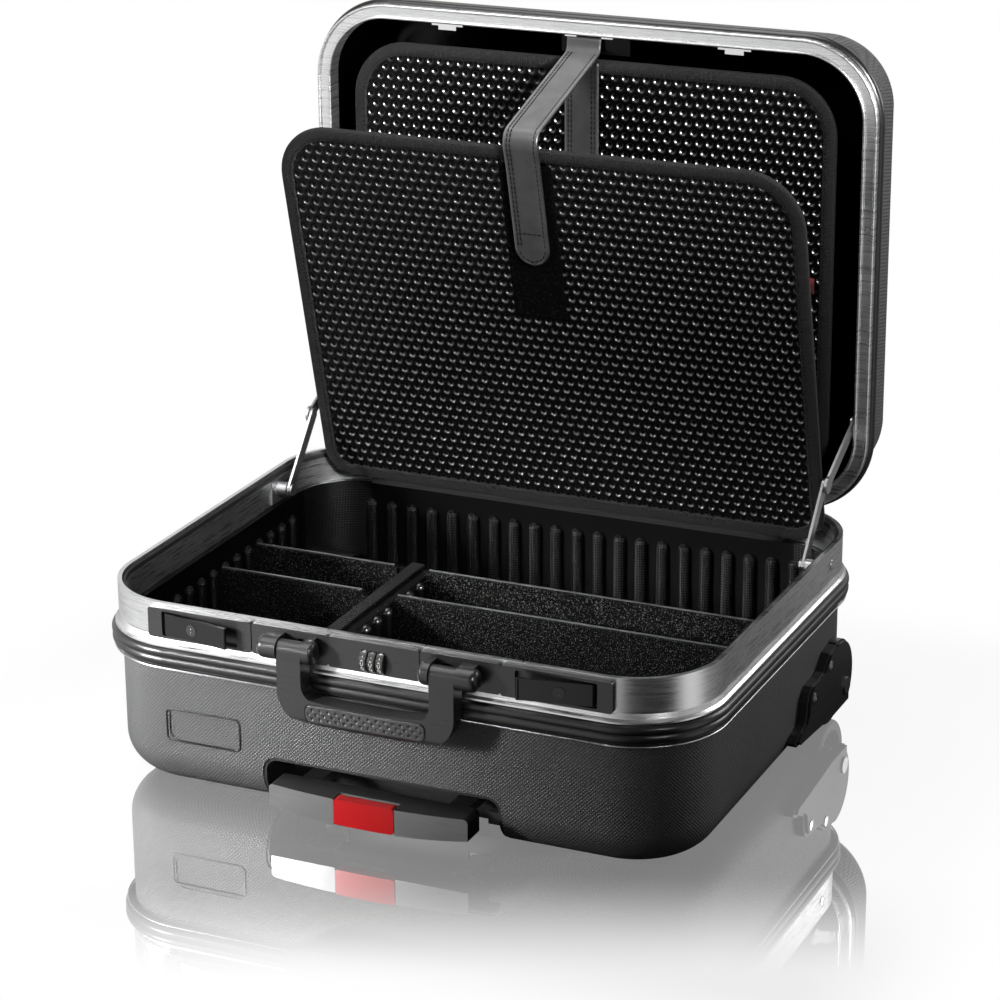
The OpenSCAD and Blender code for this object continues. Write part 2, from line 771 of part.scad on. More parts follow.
module hinge_base_leaves() color([0.7, 0.7, 0.72]) for (x = [-hinge_x, 0, hinge_x])
    difference() {
        union() {
            for (s = [-1, 1]) {
                xa = s > 0 ? x + 13 : x - hinge_half;
                xcyl(knuckle_r, xa, xa + 13, hinge_y, hinge_z);
                box([xa, hinge_y, hinge_z - knuckle_r - 0.9],
                    [xa + 13, case_hd + 1.9, hinge_z]);
                box([xa, case_hd, hinge_z - 9], [xa + 13, case_hd + 1.9, hinge_z - 3]);
            }
            front_plate(x - hinge_half, x + hinge_half, hinge_z - 18.6, hinge_z - knuckle_r - 1.3,
                case_hd, case_hd + 1.9, 2);
        }
        xcyl(hinge_pin_r + 0.05, x - 40, x + 40, hinge_y, hinge_z);
    }

module hinge_lid_leaves() color([0.7, 0.7, 0.72]) for (x = [-hinge_x, 0, hinge_x])
    difference() {
        leaf_z = lid_cz - lid_hd;
        union() {
            xcyl(knuckle_r, x - 12.7, x + 12.7, hinge_y, hinge_z);
            box([x - 12.7, hinge_y, leaf_z - 1.6], [x + 12.7, lid_y + 20, leaf_z]);
            box([x - 12.7, hinge_y, hinge_z], [x + 12.7, hinge_y + knuckle_r, leaf_z]);
        }
        xcyl(hinge_pin_r + 0.05, x - 40, x + 40, hinge_y, hinge_z);
    }

module hinge_pins() color([0.8, 0.8, 0.82]) for (x = [-hinge_x, 0, hinge_x])
    xcyl(hinge_pin_r, x - hinge_half, x + hinge_half, hinge_y, hinge_z);

// ---- latches ----

module latch_plate_right() color([0.08, 0.08, 0.085]) difference() {
    front_plate(latch_x0, latch_x0 + latch_l, plate_z - plate_h / 2, plate_z + plate_h / 2,
        plate_y, front_y, 2.5);
    // Recess of the lever.
    front_plate(115, lever_pivot_x + 4, plate_z - 10, plate_z + 10,
        plate_y - 1, front_y - 1, 1.5);
}

module latch_plate_left() mirror([1, 0, 0]) latch_plate_right();

// Lever about an upright pivot at its outer end, drawn standing off the front.
module lever_frame() {
    translate([lever_pivot_x, lever_y - lever_t / 2, plate_z]) rotate([0, 0, lever_tilt])
        children();
}

module latch_lever_right() color([0.07, 0.07, 0.075]) lever_frame() difference() {
    union() {
        box([-lever_l, -lever_t / 2, -lever_h / 2], [0, lever_t / 2, lever_h / 2]);
        translate([0, 0, -lever_h / 2]) cylinder(r = lever_t / 2, h = lever_h);
        // Finger lip at the free end.
        translate([-lever_l, -lever_t / 2 + 1, -lever_h / 2])
            cylinder(r = 1.6, h = lever_h);
    }
    ycyl(key_r + 0.1, -5, 5, key_x - lever_pivot_x, 0);
    // Finger hollow on the back of the free end.
    translate([-lever_l + 8, 5.4, -lever_h / 2 - 1]) cylinder(r = 5, h = lever_h + 2);
}

module latch_lever_left() mirror([1, 0, 0]) latch_lever_right();

module key_cylinder_right() color([0.5, 0.5, 0.52]) lever_frame() difference() {
    ycyl(key_r, -lever_t / 2 - 0.5, lever_t / 2, key_x - lever_pivot_x, 0);
    box([key_x - lever_pivot_x - 0.5, -5, -2.6], [key_x - lever_pivot_x + 0.5, 0.5, 2.6]);
}

module key_cylinder_left() mirror([1, 0, 0]) key_cylinder_right();

// ---- carry handle ----

module ear(x0, x1) {
    xcyl(9, x0, x1, pivot_y, handle_z);
    box([x0, pivot_y, handle_z - 9], [x1, front_y - 3, handle_z + 9]);
}

module handle_bracket_right() color([0.08, 0.08, 0.085]) difference() {
    union() {
        front_plate(38, latch_x0 - fit, plate_z - plate_h / 2, plate_z + plate_h / 2,
            plate_y + 0.6, front_y, 2.5);
        ear(handle_hw + 0.6, handle_hw + 13);
        ear(handle_hw - arm_w - 6.5, handle_hw - arm_w - 0.6);
    }
    // Rounded hollow beside the inner ear.
    ycyl(6, plate_y - 1, front_y - 1.4, handle_hw - arm_w + 7, handle_z);
    xcyl(handle_pin_r + 0.05, 0, 120, pivot_y, handle_z);
}

module handle_bracket_left() mirror([1, 0, 0]) handle_bracket_right();

module handle_pins() color([0.75, 0.75, 0.77]) pair()
    xcyl(handle_pin_r, handle_hw - arm_w - 6.5, handle_hw + 13, pivot_y, handle_z);

// Outline of the carry handle in the XZ plane.
module handle_outline() {
    bow_r = 420;
    arm_x = handle_hw - arm_w;
    difference() {
        intersection() {
            // Rounded below only: the arms run straight up past the pivot.
            translate([0, (grip_low + handle_z + 48) / 2])
                rrect(handle_hw, (handle_z + 48 - grip_low) / 2, 26);
            translate([0, grip_low + bow_r]) circle(r = bow_r, $fn = 240);
        }
        // Finger opening.
        intersection() {
            translate([0, grip_low + grip_bar + 40]) rrect(arm_x, 40, 14);
            translate([0, grip_low + grip_bar + bow_r]) circle(r = bow_r, $fn = 240);
        }
        translate([-arm_x, grip_low + grip_bar + 30]) square([2 * arm_x, 80]);
    }
}

module carry_handle() color([0.09, 0.09, 0.095]) difference() {
    intersection() {
        translate([0, pivot_y + 9, 0]) rotate([90, 0, 0])
            linear_extrude(handle_d + 3) handle_outline();
        // Side outline: arms round over at the pivot, grip rounds over below.
        rotate([90, 0, 90]) translate([0, 0, -handle_hw - 1])
            linear_extrude(2 * handle_hw + 2) union() {
                translate([pivot_y, handle_z]) circle(r = 7.5);
                translate([pivot_y + 7.5 - handle_d, grip_low + handle_d / 2 - 0.7])
                    square([handle_d, handle_z - grip_low - handle_d / 2 + 0.7]);
                translate([pivot_y + 7.5 - handle_d / 2, grip_low + handle_d / 2 - 0.7])
                    circle(r = handle_d / 2);
            }
    }
    xcyl(handle_pin_r + 0.1, -120, 120, pivot_y, handle_z);
    // Seat of the soft inlay.
    pad_form(fit * 0.3, 1.6);
}

// Soft inlay on the front of the grip.
module pad_form(grow, depth) {
    translate([0, pivot_y + 7.5 - handle_d + depth, 0]) rotate([90, 0, 0])
        linear_extrude(10) intersection() {
            translate([0, grip_low + grip_bar / 2 + 1.5]) rrect(50 + grow, 7.5 + grow, 5);
            translate([0, grip_low + 420 + 1]) circle(r = 420, $fn = 240);
        }
}

module handle_pad() color([0.05, 0.05, 0.055]) intersection() {
    pad_form(0, 1.6);
    translate([-60, pivot_y + 7.5 - handle_d - 0.6, 0]) cube([120, 20, 200]);
}

// ---- combination lock ----

module lock_plate() color([0.08, 0.08, 0.085]) difference() {
    union() {
        front_plate(-38 + fit, 38 - fit, plate_z - plate_h / 2, plate_z + plate_h / 2,
            plate_y, front_y, 2.5);
        // Box behind the dials, through the rim frame.
        box([-12.9, front_y - 1, dial_z - dial_r - 0.6],
            [12.5, front_y + rim_in + 1.5, dial_z + dial_r + 0.6]);
    }
    box([-11.7, plate_y + 1.2, dial_z - dial_r - 0.3],
        [11.3, front_y + rim_in + 0.6, dial_z + dial_r + 0.3]);
    for (i = [-1 : 1])
        box([i * dial_pitch - dial_w / 2 - 0.4 - 0.2, plate_y - 1, dial_z - dial_r + 0.1],
            [i * dial_pitch + dial_w / 2 + 0.4 - 0.2, front_y, dial_z + dial_r - 0.1]);
    xcyl(dial_pin_r, -12.2, 11.8, dial_y, dial_z);
}

module dial_shaft() color([0.6, 0.6, 0.62])
    xcyl(dial_pin_r, -12.1, 11.7, dial_y, dial_z);

// Number dial: ten flats and a finger groove between each two.
module dial(i) {
    difference() {
        xcyl(dial_r, i * dial_pitch - dial_w / 2 - 0.2, i * dial_pitch + dial_w / 2 - 0.2,
            dial_y, dial_z);
        xcyl(dial_pin_r + 0.1, -20, 20, dial_y, dial_z);
        for (k = [0 : 9])
            translate([i * dial_pitch - dial_w, dial_y, dial_z]) rotate([k * 36 + 18, 0, 0])
                translate([0, 0, dial_r + 0.5]) rotate([0, 90, 0])
                    cylinder(r = 1.1, h = 2 * dial_w, $fn = 16);
    }
}

module dial_1() color([0.12, 0.12, 0.12]) dial(-1);
module dial_2() color([0.12, 0.12, 0.12]) dial(0);
module dial_3() color([0.12, 0.12, 0.12]) dial(1);

// ---- lid stays ----

// Flat link with round ends between two pivots, lying across X.
module link(x0, x1, ya, za, length, angle, w) {
    translate([x0, ya, za]) rotate([angle, 0, 0]) rotate([90, 0, 90])
        linear_extrude(x1 - x0) union() {
            circle(r = w / 2);
            translate([length, 0]) circle(r = w / 2);
            translate([0, -w / 2]) square([length, w]);
        }
}

low_x = stay_x;
up_x = stay_x + stay_t + link_gap;
wall_x = case_hw - rim_in;

module stay_brackets() color([0.7, 0.7, 0.72]) pair() {
    // Plate on the inner face of the rim, with a stud for the lower link.
    box([wall_x - 1.6, stay_y - 12, tray_z + 2], [wall_x, stay_y + 12, rim_z - groove_d]);
    xcyl(6, up_x + fit, wall_x - 1, stay_y, stay_z);
    xcyl(stay_rivet_r, low_x - 1.6, wall_x - 1, stay_y, stay_z);
    xcyl(5, low_x - 2.2, low_x - 0.3, stay_y, stay_z);
}

module stay_lower_right() color([0.72, 0.72, 0.74]) difference() {
    link(low_x, low_x + stay_t, stay_y, stay_z, stay_low_l, stay_low_a, stay_w);
    xcyl(stay_rivet_r + 0.08, 200, 260, stay_y, stay_z);
}

module stay_lower_left() mirror([1, 0, 0]) stay_lower_right();

module stay_upper_right() color([0.72, 0.72, 0.74]) difference() {
    union() {
        link(up_x, up_x + stay_t, elbow_y, elbow_z, stay_up_l, stay_up_a, stay_w);
        // Round elbow rivet.
        xcyl(7, up_x + 0.4, up_x + stay_t + 0.6, elbow_y, elbow_z);
    }
    xcyl(stay_rivet_r + 0.08, 200, 260, lidpin_y, lidpin_z);
}

module stay_upper_left() mirror([1, 0, 0]) stay_upper_right();

module stay_lid_brackets() color([0.7, 0.7, 0.72]) pair() {
    in_x = lid_hw - lid_face_w;
    difference() {
        union() {
            box([up_x + stay_t + fit, lidpin_y - 7, lidpin_z - 14],
                [in_x, lidpin_y + 4.5, lidpin_z + 14]);
            xcyl(stay_rivet_r, up_x - 0.6, in_x, lidpin_y, lidpin_z);
            xcyl(5, up_x - 1.4, up_x - 0.3, lidpin_y, lidpin_z);
        }
    }
}

// ---- lid ----

module lid_shell() color([0.09, 0.09, 0.10]) on_lid()
    translate([0, 0, lid_d]) mirror([0, 0, 1])
        pan(lid_hw - lid_in, lid_hd - lid_in, lid_r - lid_in, edge_r, shell_t, lid_d - 5);

module lid_frame() color([0.78, 0.78, 0.79]) on_lid() sweep(lid_hw, lid_hd, lid_r) union() {
    w = lid_face_w;
    polygon([
        [0, bead_w / 2], [0, 6], [-1.5, 6], [-1.5, 4.2], [-w + 1.5, 4.2], [-w + 1.5, 15],
        [-w, 15], [-w, bead_w / 2], [-w + bead_w, bead_w / 2], [-w + bead_w, 2.4],
        [-bead_w, 2.4], [-bead_w, bead_w / 2]
    ]);
    translate([-bead_w / 2, bead_w / 2]) circle(r = bead_w / 2);
    translate([-w + bead_w / 2, bead_w / 2]) circle(r = bead_w / 2);
}

module lid_edging() color([0.13, 0.13, 0.14]) on_lid() difference() {
    sweep(lid_hw, lid_hd, lid_r) intersection() {
        union() {
            translate([3 - 4.6, 10.6]) circle(r = 4.6);
            translate([-lid_in + 1, 16]) circle(r = 3);
            translate([-lid_in + fit, 6.3]) square([lid_in - 2, 11]);
        }
        translate([-lid_in + fit, 6.3]) square([20, 13]);
    }
    for (x = [-hinge_x, 0, hinge_x])
        translate([x - 13.5, lid_hd - 0.3, -5]) cube([27, 20, 30]);
}

module lid_lining() color([0.03, 0.03, 0.035]) on_lid() {
    in_w = lid_in + shell_t + 0.4;
    depth = lid_d - shell_t - 0.4;
    translate([0, 0, depth]) mirror([0, 0, 1])
        pan(lid_hw - in_w, lid_hd - in_w, lid_r - in_w, edge_r - shell_t - 0.4, 2, depth - 15.3);
    // Tongue at the upper edge that carries the straps.
    wall_y = lid_hd - in_w - 2.3;
    translate([-26, -wall_y, 8.2]) cube([60, 15, 10]);
    translate([-26, -wall_y - 1.5, 15.5]) cube([60, 4, 2.7]);
    // Lugs under the lower edge of the rear board.
    for (x = [-150, 150]) {
        translate([x - 12, lid_cz - rear_low + fit, 1.5]) cube([24, wall_y - lid_cz + rear_low - fit, 8]);
        translate([x - 12, wall_y - 6, 1.5]) cube([24, 6, 18]);
        translate([x - 12, wall_y - 2, 15.5]) cube([24, 3.5, 4]);
    }
}

module latch_strikers() color([0.85, 0.85, 0.86]) on_lid() {
    for (s = [-1, 1]) {
        // Bright striker plate with a raised hook on the lid's upper edge.
        translate([s * striker_x - striker_w / 2, -lid_hd + lid_face_w, 1.4])
            cube([striker_w, 1.6, 12]);
        translate([s * striker_x - 8, -lid_hd + lid_face_w, 1.4]) cube([16, 5, 3]);
        translate([s * 16 - 5, -lid_hd + lid_face_w, 2.8]) cube([10, 1.6, 5]);
    }
}

// ---- boards ----

// Board outline with round corners at the top and small ones below.
module board_outline(hw, length, r, low_r) {
    union() {
        translate([-hw, low_r]) square([2 * hw, length - r - low_r]);
        translate([-hw + low_r, 0]) square([2 * (hw - low_r), length]);
        translate([-hw + r, length / 2]) square([2 * (hw - r), length / 2]);
        for (s = [-1, 1]) {
            translate([s * (hw - r), length - r]) circle(r = r);
            translate([s * (hw - low_r), low_r]) circle(r = low_r);
        }
    }
}

module board(hw, length, r, low_r, t) {
    // Thin panel inside a thicker rounded binding.
    translate([0, 0, t / 2 - 1.5]) linear_extrude(3) difference() {
        intersection() {
            board_form(hw - 1, length, 1, r, low_r);
            translate([-hw, 0]) square([2 * hw, length]);
        }
    }
    linear_extrude(t) difference() {
        board_form(hw, length, 0, r, low_r);
        board_form(hw, length, 11, r, low_r);
    }
}

module board_form(hw, length, d, r, low_r) {
    translate([0, length / 2]) union() {
        intersection() {
            rrect(hw - d, length / 2 - d, r - d);
            translate([-hw, 0]) square([2 * hw, length]);
        }
        intersection() {
            rrect(hw - d, length / 2 - d, max(low_r - d, 2));
            translate([-hw, -length]) square([2 * hw, length + 0.01]);
        }
    }
}

module front_board() color([0.05, 0.05, 0.055])
    translate([0, board_y, board_z]) rotate([90 + board_lean, 0, 0])
        translate([0, 0, -board_t / 2]) board(board_hw, board_l, board_r, 26, board_t);

module rear_board() color([0.05, 0.05, 0.055])
    translate([0, rear_y + board_t, rear_low]) rotate([90, 0, 0])
        board(rear_hw, rear_top - rear_low, board_r, 30, board_t);

module board_flap() color([0.06, 0.06, 0.065]) {
    // Fabric hinge strip from the front board's foot to the tray's ledge.
    back = board_y + board_t / 2 + fit;
    box([-board_hw + 40, back, tray_z + fit], [board_hw - 40, case_hd - 8, tray_z + 1.8]);
    box([-board_hw + 40, back, tray_z + fit], [board_hw - 40, back + 1.5, board_z + 2]);
}

// Point on the front board: distance up from its lower edge, and out of its face.
function on_board(up, out) = [
    board_y - up * sin(board_lean) - out * cos(board_lean),
    board_z + up * cos(board_lean) - out * sin(board_lean)
];

patch_low = 182;
patch_high = 322;
strap_low = 234;

module hook_patch() color([0.03, 0.03, 0.03])
    translate([0, board_y, board_z]) rotate([90 + board_lean, 0, 0])
        translate([-strap_w / 2 - 5, patch_low, board_t / 2])
            cube([strap_w + 10, patch_high - patch_low, 1.4]);

// Strap from the lid's upper edge, over the front board's top, down its face.
module board_strap() color([0.07, 0.07, 0.075]) {
    lid_end = [lid_y + 5, rear_top + 3];
    over = on_board(board_l + 6, board_t / 2 + 3);
    low = on_board(strap_low + 22, board_t / 2 + 1.6);
    run = sqrt(pow(lid_end[0] - over[0], 2) + pow(lid_end[1] - over[1], 2));
    rise = atan2(lid_end[1] - over[1], lid_end[0] - over[0]);
    translate([-strap_w / 2, 0, 0]) {
        translate([0, over[0], over[1]]) rotate([rise, 0, 0])
            translate([0, -1, 0]) cube([strap_w, run + 1, strap_t]);
        translate([0, low[0], low[1]]) rotate([board_lean, 0, 0])
            translate([0, -strap_t, -22]) cube([strap_w, strap_t, board_l - strap_low + 9]);
        translate([0, lid_end[0] - 1.5, rear_top + 1.5]) cube([strap_w, strap_t, 15]);
    }
}

module rear_strap() color([0.07, 0.07, 0.075])
    box([rear_strap_x - strap_w / 2, rear_y - strap_t - fit, rear_top - 2 - rear_strap_l],
        [rear_strap_x + strap_w / 2, rear_y - fit, rear_top - 2]);

module pull_tab() color([0.7, 0.05, 0.06])
    box([188, rear_y - 1.5 - fit, 335], [198, rear_y + 1.5 - fit, 348]);

base_shell();
base_edging();
base_frame();
base_seal();
base_tray();
centre_divider();
divider_back_left();
divider_back_right();
divider_front_left();
divider_front_right();
trolley_housing();
trolley_rails();
trolley_mid_tubes();
trolley_inner_tubes();
trolley_grip();
trolley_button();
wheel_left();
wheel_right();
wheel_axles();
wheel_guard_left();
wheel_guard_right();
front_feet();
side_rivets();
hinge_base_leaves();
hinge_lid_leaves();
hinge_pins();
latch_plate_left();
latch_plate_right();
latch_lever_left();
latch_lever_right();
key_cylinder_left();
key_cylinder_right();
handle_bracket_left();
handle_bracket_right();
handle_pins();
carry_handle();
handle_pad();
lock_plate();
dial_shaft();
dial_1();
dial_2();
dial_3();
stay_brackets();
stay_lower_left();
stay_lower_right();
stay_upper_left();
stay_upper_right();
stay_lid_brackets();
lid_shell();
lid_edging();
lid_frame();
lid_lining();
latch_strikers();
front_board();
rear_board();
board_flap();
board_strap();
rear_strap();
hook_patch();
pull_tab();
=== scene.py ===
"""Wheeled hard tool case with its lid open: surfaces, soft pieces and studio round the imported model."""

import math

import bmesh
import bpy
from mathutils import Matrix, Vector


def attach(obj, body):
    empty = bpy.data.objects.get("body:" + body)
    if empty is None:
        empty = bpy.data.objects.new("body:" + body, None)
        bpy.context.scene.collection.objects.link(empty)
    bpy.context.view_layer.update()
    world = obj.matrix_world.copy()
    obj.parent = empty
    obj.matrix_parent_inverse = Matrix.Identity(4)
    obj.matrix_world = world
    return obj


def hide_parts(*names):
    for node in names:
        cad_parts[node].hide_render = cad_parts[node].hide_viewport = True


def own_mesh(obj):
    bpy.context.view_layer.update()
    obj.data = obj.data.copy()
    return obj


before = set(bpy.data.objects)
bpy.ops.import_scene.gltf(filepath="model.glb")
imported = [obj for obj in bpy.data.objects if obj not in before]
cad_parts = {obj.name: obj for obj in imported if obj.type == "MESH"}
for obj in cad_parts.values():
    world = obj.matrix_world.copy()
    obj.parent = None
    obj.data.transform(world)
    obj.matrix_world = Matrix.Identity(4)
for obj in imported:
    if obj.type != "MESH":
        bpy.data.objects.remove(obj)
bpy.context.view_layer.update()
MM = 0.001

# Main measures of the case, in millimetres, as the source has them.
CASE_X, CASE_Y, CORNER = 250.0, 199.1, 67.6
BOARD_Y, BOARD_Z, BOARD_LEAN = 171.0, 138.0, 14.1
BOARD_X, BOARD_LONG = 226.5, 336.0
REAR_X, REAR_LOW, REAR_HIGH, REAR_FACE = 213.0, 183.0, 511.0, 207.7
GRIP_LOW, PIVOT_Y, PIVOT_Z = 85.0, -213.1, 142.0
DIAL_Y, DIAL_Z, DIAL_R = -200.5, 138.8, 9.0
RIB_X, RIB_Y, DIVIDER_TOP = 238.4, 187.5, 110.7
RIDGE_X, RIDGE_WIDE, RIDGE_FRONT, RIDGE_BACK = -90.0, 24.0, -182.2, 61.75
SIDE_PITCH = 20.1
# Height of the bright bead that paints the highlight line under the edging.
HIGHLIGHT_BEAD_Z = 103.8
HEX_PITCH, CUP_R = 9.2, 3.15
FRONT_HIGH_R, FRONT_LOW_R, REAR_HIGH_R, REAR_LOW_R = 48, 26, 48, 30
PATCH_X, PATCH_Z, PATCH_WIDE, PATCH_LONG = -5.5, 252, 46, 140
STRAP_WIDE, STRAP_T, STRAP_X = 30, 3.0, -4.6
GRIP_WIDE, GRIP_TALL, DIMPLE_PITCH, DIMPLE_ROW = 99, 14.4, 6.7, 3.4


# ---------------------------------------------------------------- shader maths


class Wire:
    """An output socket on which arithmetic adds Math nodes."""

    def __init__(self, tree, socket=None):
        self.tree, self.socket = tree, socket

    def node(self, kind, settings=None, sockets=None, out=0):
        """Adds a node: its settings first, then the values or links of its sockets."""
        made = self.tree.nodes.new("ShaderNode" + kind)
        for key, value in (settings or {}).items():
            if key == "stops":
                ramp = made.color_ramp
                while len(ramp.elements) < len(value):
                    ramp.elements.new(1.0)
                for stop, (place, shade) in zip(ramp.elements, value):
                    stop.position = place
                    stop.color = (shade, shade, shade, 1) if isinstance(shade, (int, float)) else (*shade, 1)
            else:
                setattr(made, key, value)
        for key, value in (sockets or {}).items():
            if isinstance(value, Wire):
                self.tree.links.new(value.socket, made.inputs[key])
            else:
                made.inputs[key].default_value = value
        return Wire(self.tree, made.outputs[out])

    def math(self, operation, *values, clamp=False):
        return self.node("Math", {"operation": operation, "use_clamp": clamp}, dict(enumerate(values)))

    def __add__(self, other):
        return self.math("ADD", self, other)

    def __sub__(self, other):
        return self.math("SUBTRACT", self, other)

    def __mul__(self, other):
        return self.math("MULTIPLY", self, other)

    def __truediv__(self, other):
        return self.math("DIVIDE", self, other)

    def __radd__(self, other):
        return self.math("ADD", other, self)

    def __rsub__(self, other):
        return self.math("SUBTRACT", other, self)

    def __rmul__(self, other):
        return self.math("MULTIPLY", other, self)

    def __rtruediv__(self, other):
        return self.math("DIVIDE", other, self)

    def __neg__(self):
        return self.math("MULTIPLY", self, -1.0)

    def __abs__(self):
        return self.math("ABSOLUTE", self)

    def sin(self):
        return self.math("SINE", self)

    def least(self, other):
        return self.math("MINIMUM", self, other)

    def most(self, other):
        return self.math("MAXIMUM", self, other)

    def rise(self, low, high):
        """0 below low, 1 above high, smooth between."""
        return self.node(
            "MapRange",
            {"interpolation_type": "SMOOTHSTEP"},
            {0: self, 1: low, 2: high, 3: 0.0, 4: 1.0},
        )

    def mix(self, low, high):
        """Colour between low and high, this wire being the share of high."""
        return self.node("Mix", {"data_type": "RGBA"}, {0: self, 6: rgba(low), 7: rgba(high)}, out=2)


def rgba(colour):
    if isinstance(colour, Wire):
        return colour
    if isinstance(colour, (int, float)):
        return (colour, colour, colour, 1)
    return (*colour, 1)


class Finish:
    """A surface finish: a shader with its place in space, its noise and its bump."""

    def __init__(self, name, colour, roughness, metallic=0.0, **fixed):
        self.material = bpy.data.materials.new(name)
        self.material.use_nodes = True
        self.tree = self.material.node_tree
        self.shader = self.tree.nodes["Principled BSDF"]
        self.wire = Wire(self.tree)
        self.set("Base Color", colour)
        self.set("Roughness", roughness)
        self.set("Metallic", metallic)
        for key, value in fixed.items():
            self.set(key.replace("_", " "), value)
        self.place = self.wire.node("TexCoord", out=3)
        self.x, self.y, self.z = (
            self.wire.node("SeparateXYZ", sockets={0: self.place}, out=k) * 1000 for k in range(3)
        )
        self.uv = self.wire.node("TexCoord", out=2)
        self.last_bump = None

    def set(self, socket, value):
        if isinstance(value, Wire):
            self.tree.links.new(value.socket, self.shader.inputs[socket])
        else:
            old = self.shader.inputs[socket]
            old.default_value = rgba(value) if old.type == "RGBA" else value

    def at(self, u, v, w=0.0):
        return self.wire.node("CombineXYZ", sockets={0: u, 1: v, 2: w})

    def noise(self, scale, detail=2.0, where=None, roughness=0.5):
        """Noise from 0 to 1; scale is in features a metre."""
        sockets = {"Vector": where or self.place, "Scale": scale, "Detail": detail, "Roughness": roughness}
        return self.wire.node("TexNoise", sockets=sockets)

    def cells(self, scale):
        return self.wire.node("TexVoronoi", sockets={"Vector": self.place, "Scale": scale})

    def bump(self, height, depth, strength=1.0):
        """Relief of height (0 to 1) times depth in millimetres."""
        sockets = {"Height": height, "Distance": depth * MM, "Strength": strength}
        if self.last_bump:
            sockets["Normal"] = self.last_bump
        self.last_bump = self.wire.node("Bump", sockets=sockets)
        self.set("Normal", self.last_bump)

    def way_round(self):
        """Distance round the rounded rectangle of the case, mirrored in its quarters."""
        flat_x, flat_y = CASE_X - CORNER, CASE_Y - CORNER
        across, along = abs(self.x), abs(self.y)
        turn = self.wire.math("ARCTAN2", (along - flat_y).most(0.0), (across - flat_x).most(0.001))
        return along.least(flat_y) + turn * CORNER + flat_x - across.least(flat_x)


def shell_finish():
    """Moulded shell: black, embossed with small diamonds, with painted shade darkening the valleys between them and
    their high places paler.
    """
    f = Finish("shell_moulded", 0.1, 0.42, Specular_IOR_Level=0.4)
    round_way, high = f.way_round(), f.z
    pitch = 3.0
    first = ((round_way + high) / pitch * math.pi).sin()
    second = ((round_way - high) / pitch * math.pi).sin()
    diamond = abs(first * second)
    grain = f.noise(900, 3)
    cloud = f.noise(7, 3)
    # Painted shade: the diamond relief also darkens the colour in its valleys and makes it paler on its highs.
    f.set("Base Color", (cloud * 0.2 + grain * 0.25 + diamond * 0.55).mix(0.055, 0.155))
    f.set("Roughness", 0.36 + cloud * 0.08 + grain * 0.06)
    f.bump(diamond, 0.55, 0.8)
    f.bump(grain, 0.05, 0.5)
    return f


def edging_finish():
    """Rolled edging: satin black with faint lengthwise drawing marks."""
    f = Finish("edging_gloss", 0.02, 0.2, Specular_IOR_Level=0.6)
    marks = f.noise(1.0, 3, f.at(f.way_round() * 0.02, f.z * 0.8, f.y * 0.0))
    grain = f.noise(700, 2)
    f.set("Base Color", marks.mix(0.012, 0.03))
    f.set("Roughness", 0.24 + marks * 0.14)
    f.bump(marks * 0.6 + grain * 0.4, 0.04, 0.5)
    return f


def aluminium_finish():
    """Rim band: metal brushed along its length, in fine and in broader streaks."""
    f = Finish("aluminium_brushed", 0.7, 0.3, metallic=1.0)
    way = f.way_round()
    fine = f.noise(1.0, 3, f.at(way * 0.04, f.z * 1.9, f.y * 0.0), 0.75)
    broad = f.noise(1.0, 3, f.at(way * 0.018 + 40.0, f.z * 0.55, f.y * 0.0), 0.7)
    streak = (fine * 0.6 + broad * 0.4).rise(0.25, 0.75)
    f.set("Base Color", streak.mix((0.58, 0.585, 0.59), (0.9, 0.9, 0.9)))
    f.set("Roughness", 0.2 + streak * 0.22)
    f.bump(fine * 0.5 + broad * 0.5, 0.12, 0.5)
    return f


def grained_finish(name, low, high, rough, scale=1100, relief=0.06, **fixed):
    """Moulded plastic with a fine random grain."""
    f = Finish(name, low, rough, **fixed)
    grain, cloud = f.noise(scale, 3), f.noise(12, 3)
    f.set("Base Color", (grain * 0.45 + cloud * 0.55).mix(low, high))
    f.set("Roughness", rough - 0.06 + grain * 0.07 + cloud * 0.07)
    f.bump(grain, relief, 0.6)
    return f


def tray_finish():
    """Moulded tray: black, its upright ribs embossed with rows of dots."""
    f = Finish("tray_moulded", 0.006, 0.34, Specular_IOR_Level=0.12)
    on_rib = (1.0 - abs(f.y).rise(RIB_Y - 1.6, RIB_Y - 0.8)) * (1.0 - abs(f.x).rise(RIB_X - 1.6, RIB_X - 0.8))
    dots = abs(((f.x + f.y) * (math.pi / 1.9)).sin() * (f.z * (math.pi / 2.3)).sin())
    grain = f.noise(700, 3)
    f.set("Base Color", (dots * dots * on_rib * 0.8 + grain * 0.1).mix(0.002, 0.07))
    f.set("Roughness", 0.3 + grain * 0.1)
    f.bump(dots * on_rib, 0.35, 0.8)
    f.bump(grain, 0.05, 0.6)
    return f


def metal_finish(name, low, high, rough, stretch=(60, 60, 900), relief=0.02):
    """Rolled or polished metal with fine drawing lines and faint clouding."""
    f = Finish(name, high, rough, metallic=1.0)
    lines = f.noise(1.0, 3, f.wire.node("Mapping", sockets={0: f.place, 3: stretch}))
    cloud = f.noise(30, 2)
    f.set("Base Color", (lines * 0.5 + cloud * 0.5).mix(low, high))
    f.set("Roughness", rough - 0.05 + lines * 0.1)
    f.bump(lines, relief, 0.5)
    return f


def rubber_finish(name, low, high, rough=0.72):
    f = Finish(name, low, rough, Specular_IOR_Level=0.4)
    grain, dust = f.noise(1600, 2), f.noise(26, 4)
    f.set("Base Color", dust.mix(low, high))
    f.set("Roughness", rough - 0.05 + dust * 0.12)
    f.bump(grain, 0.07, 0.6)
    return f


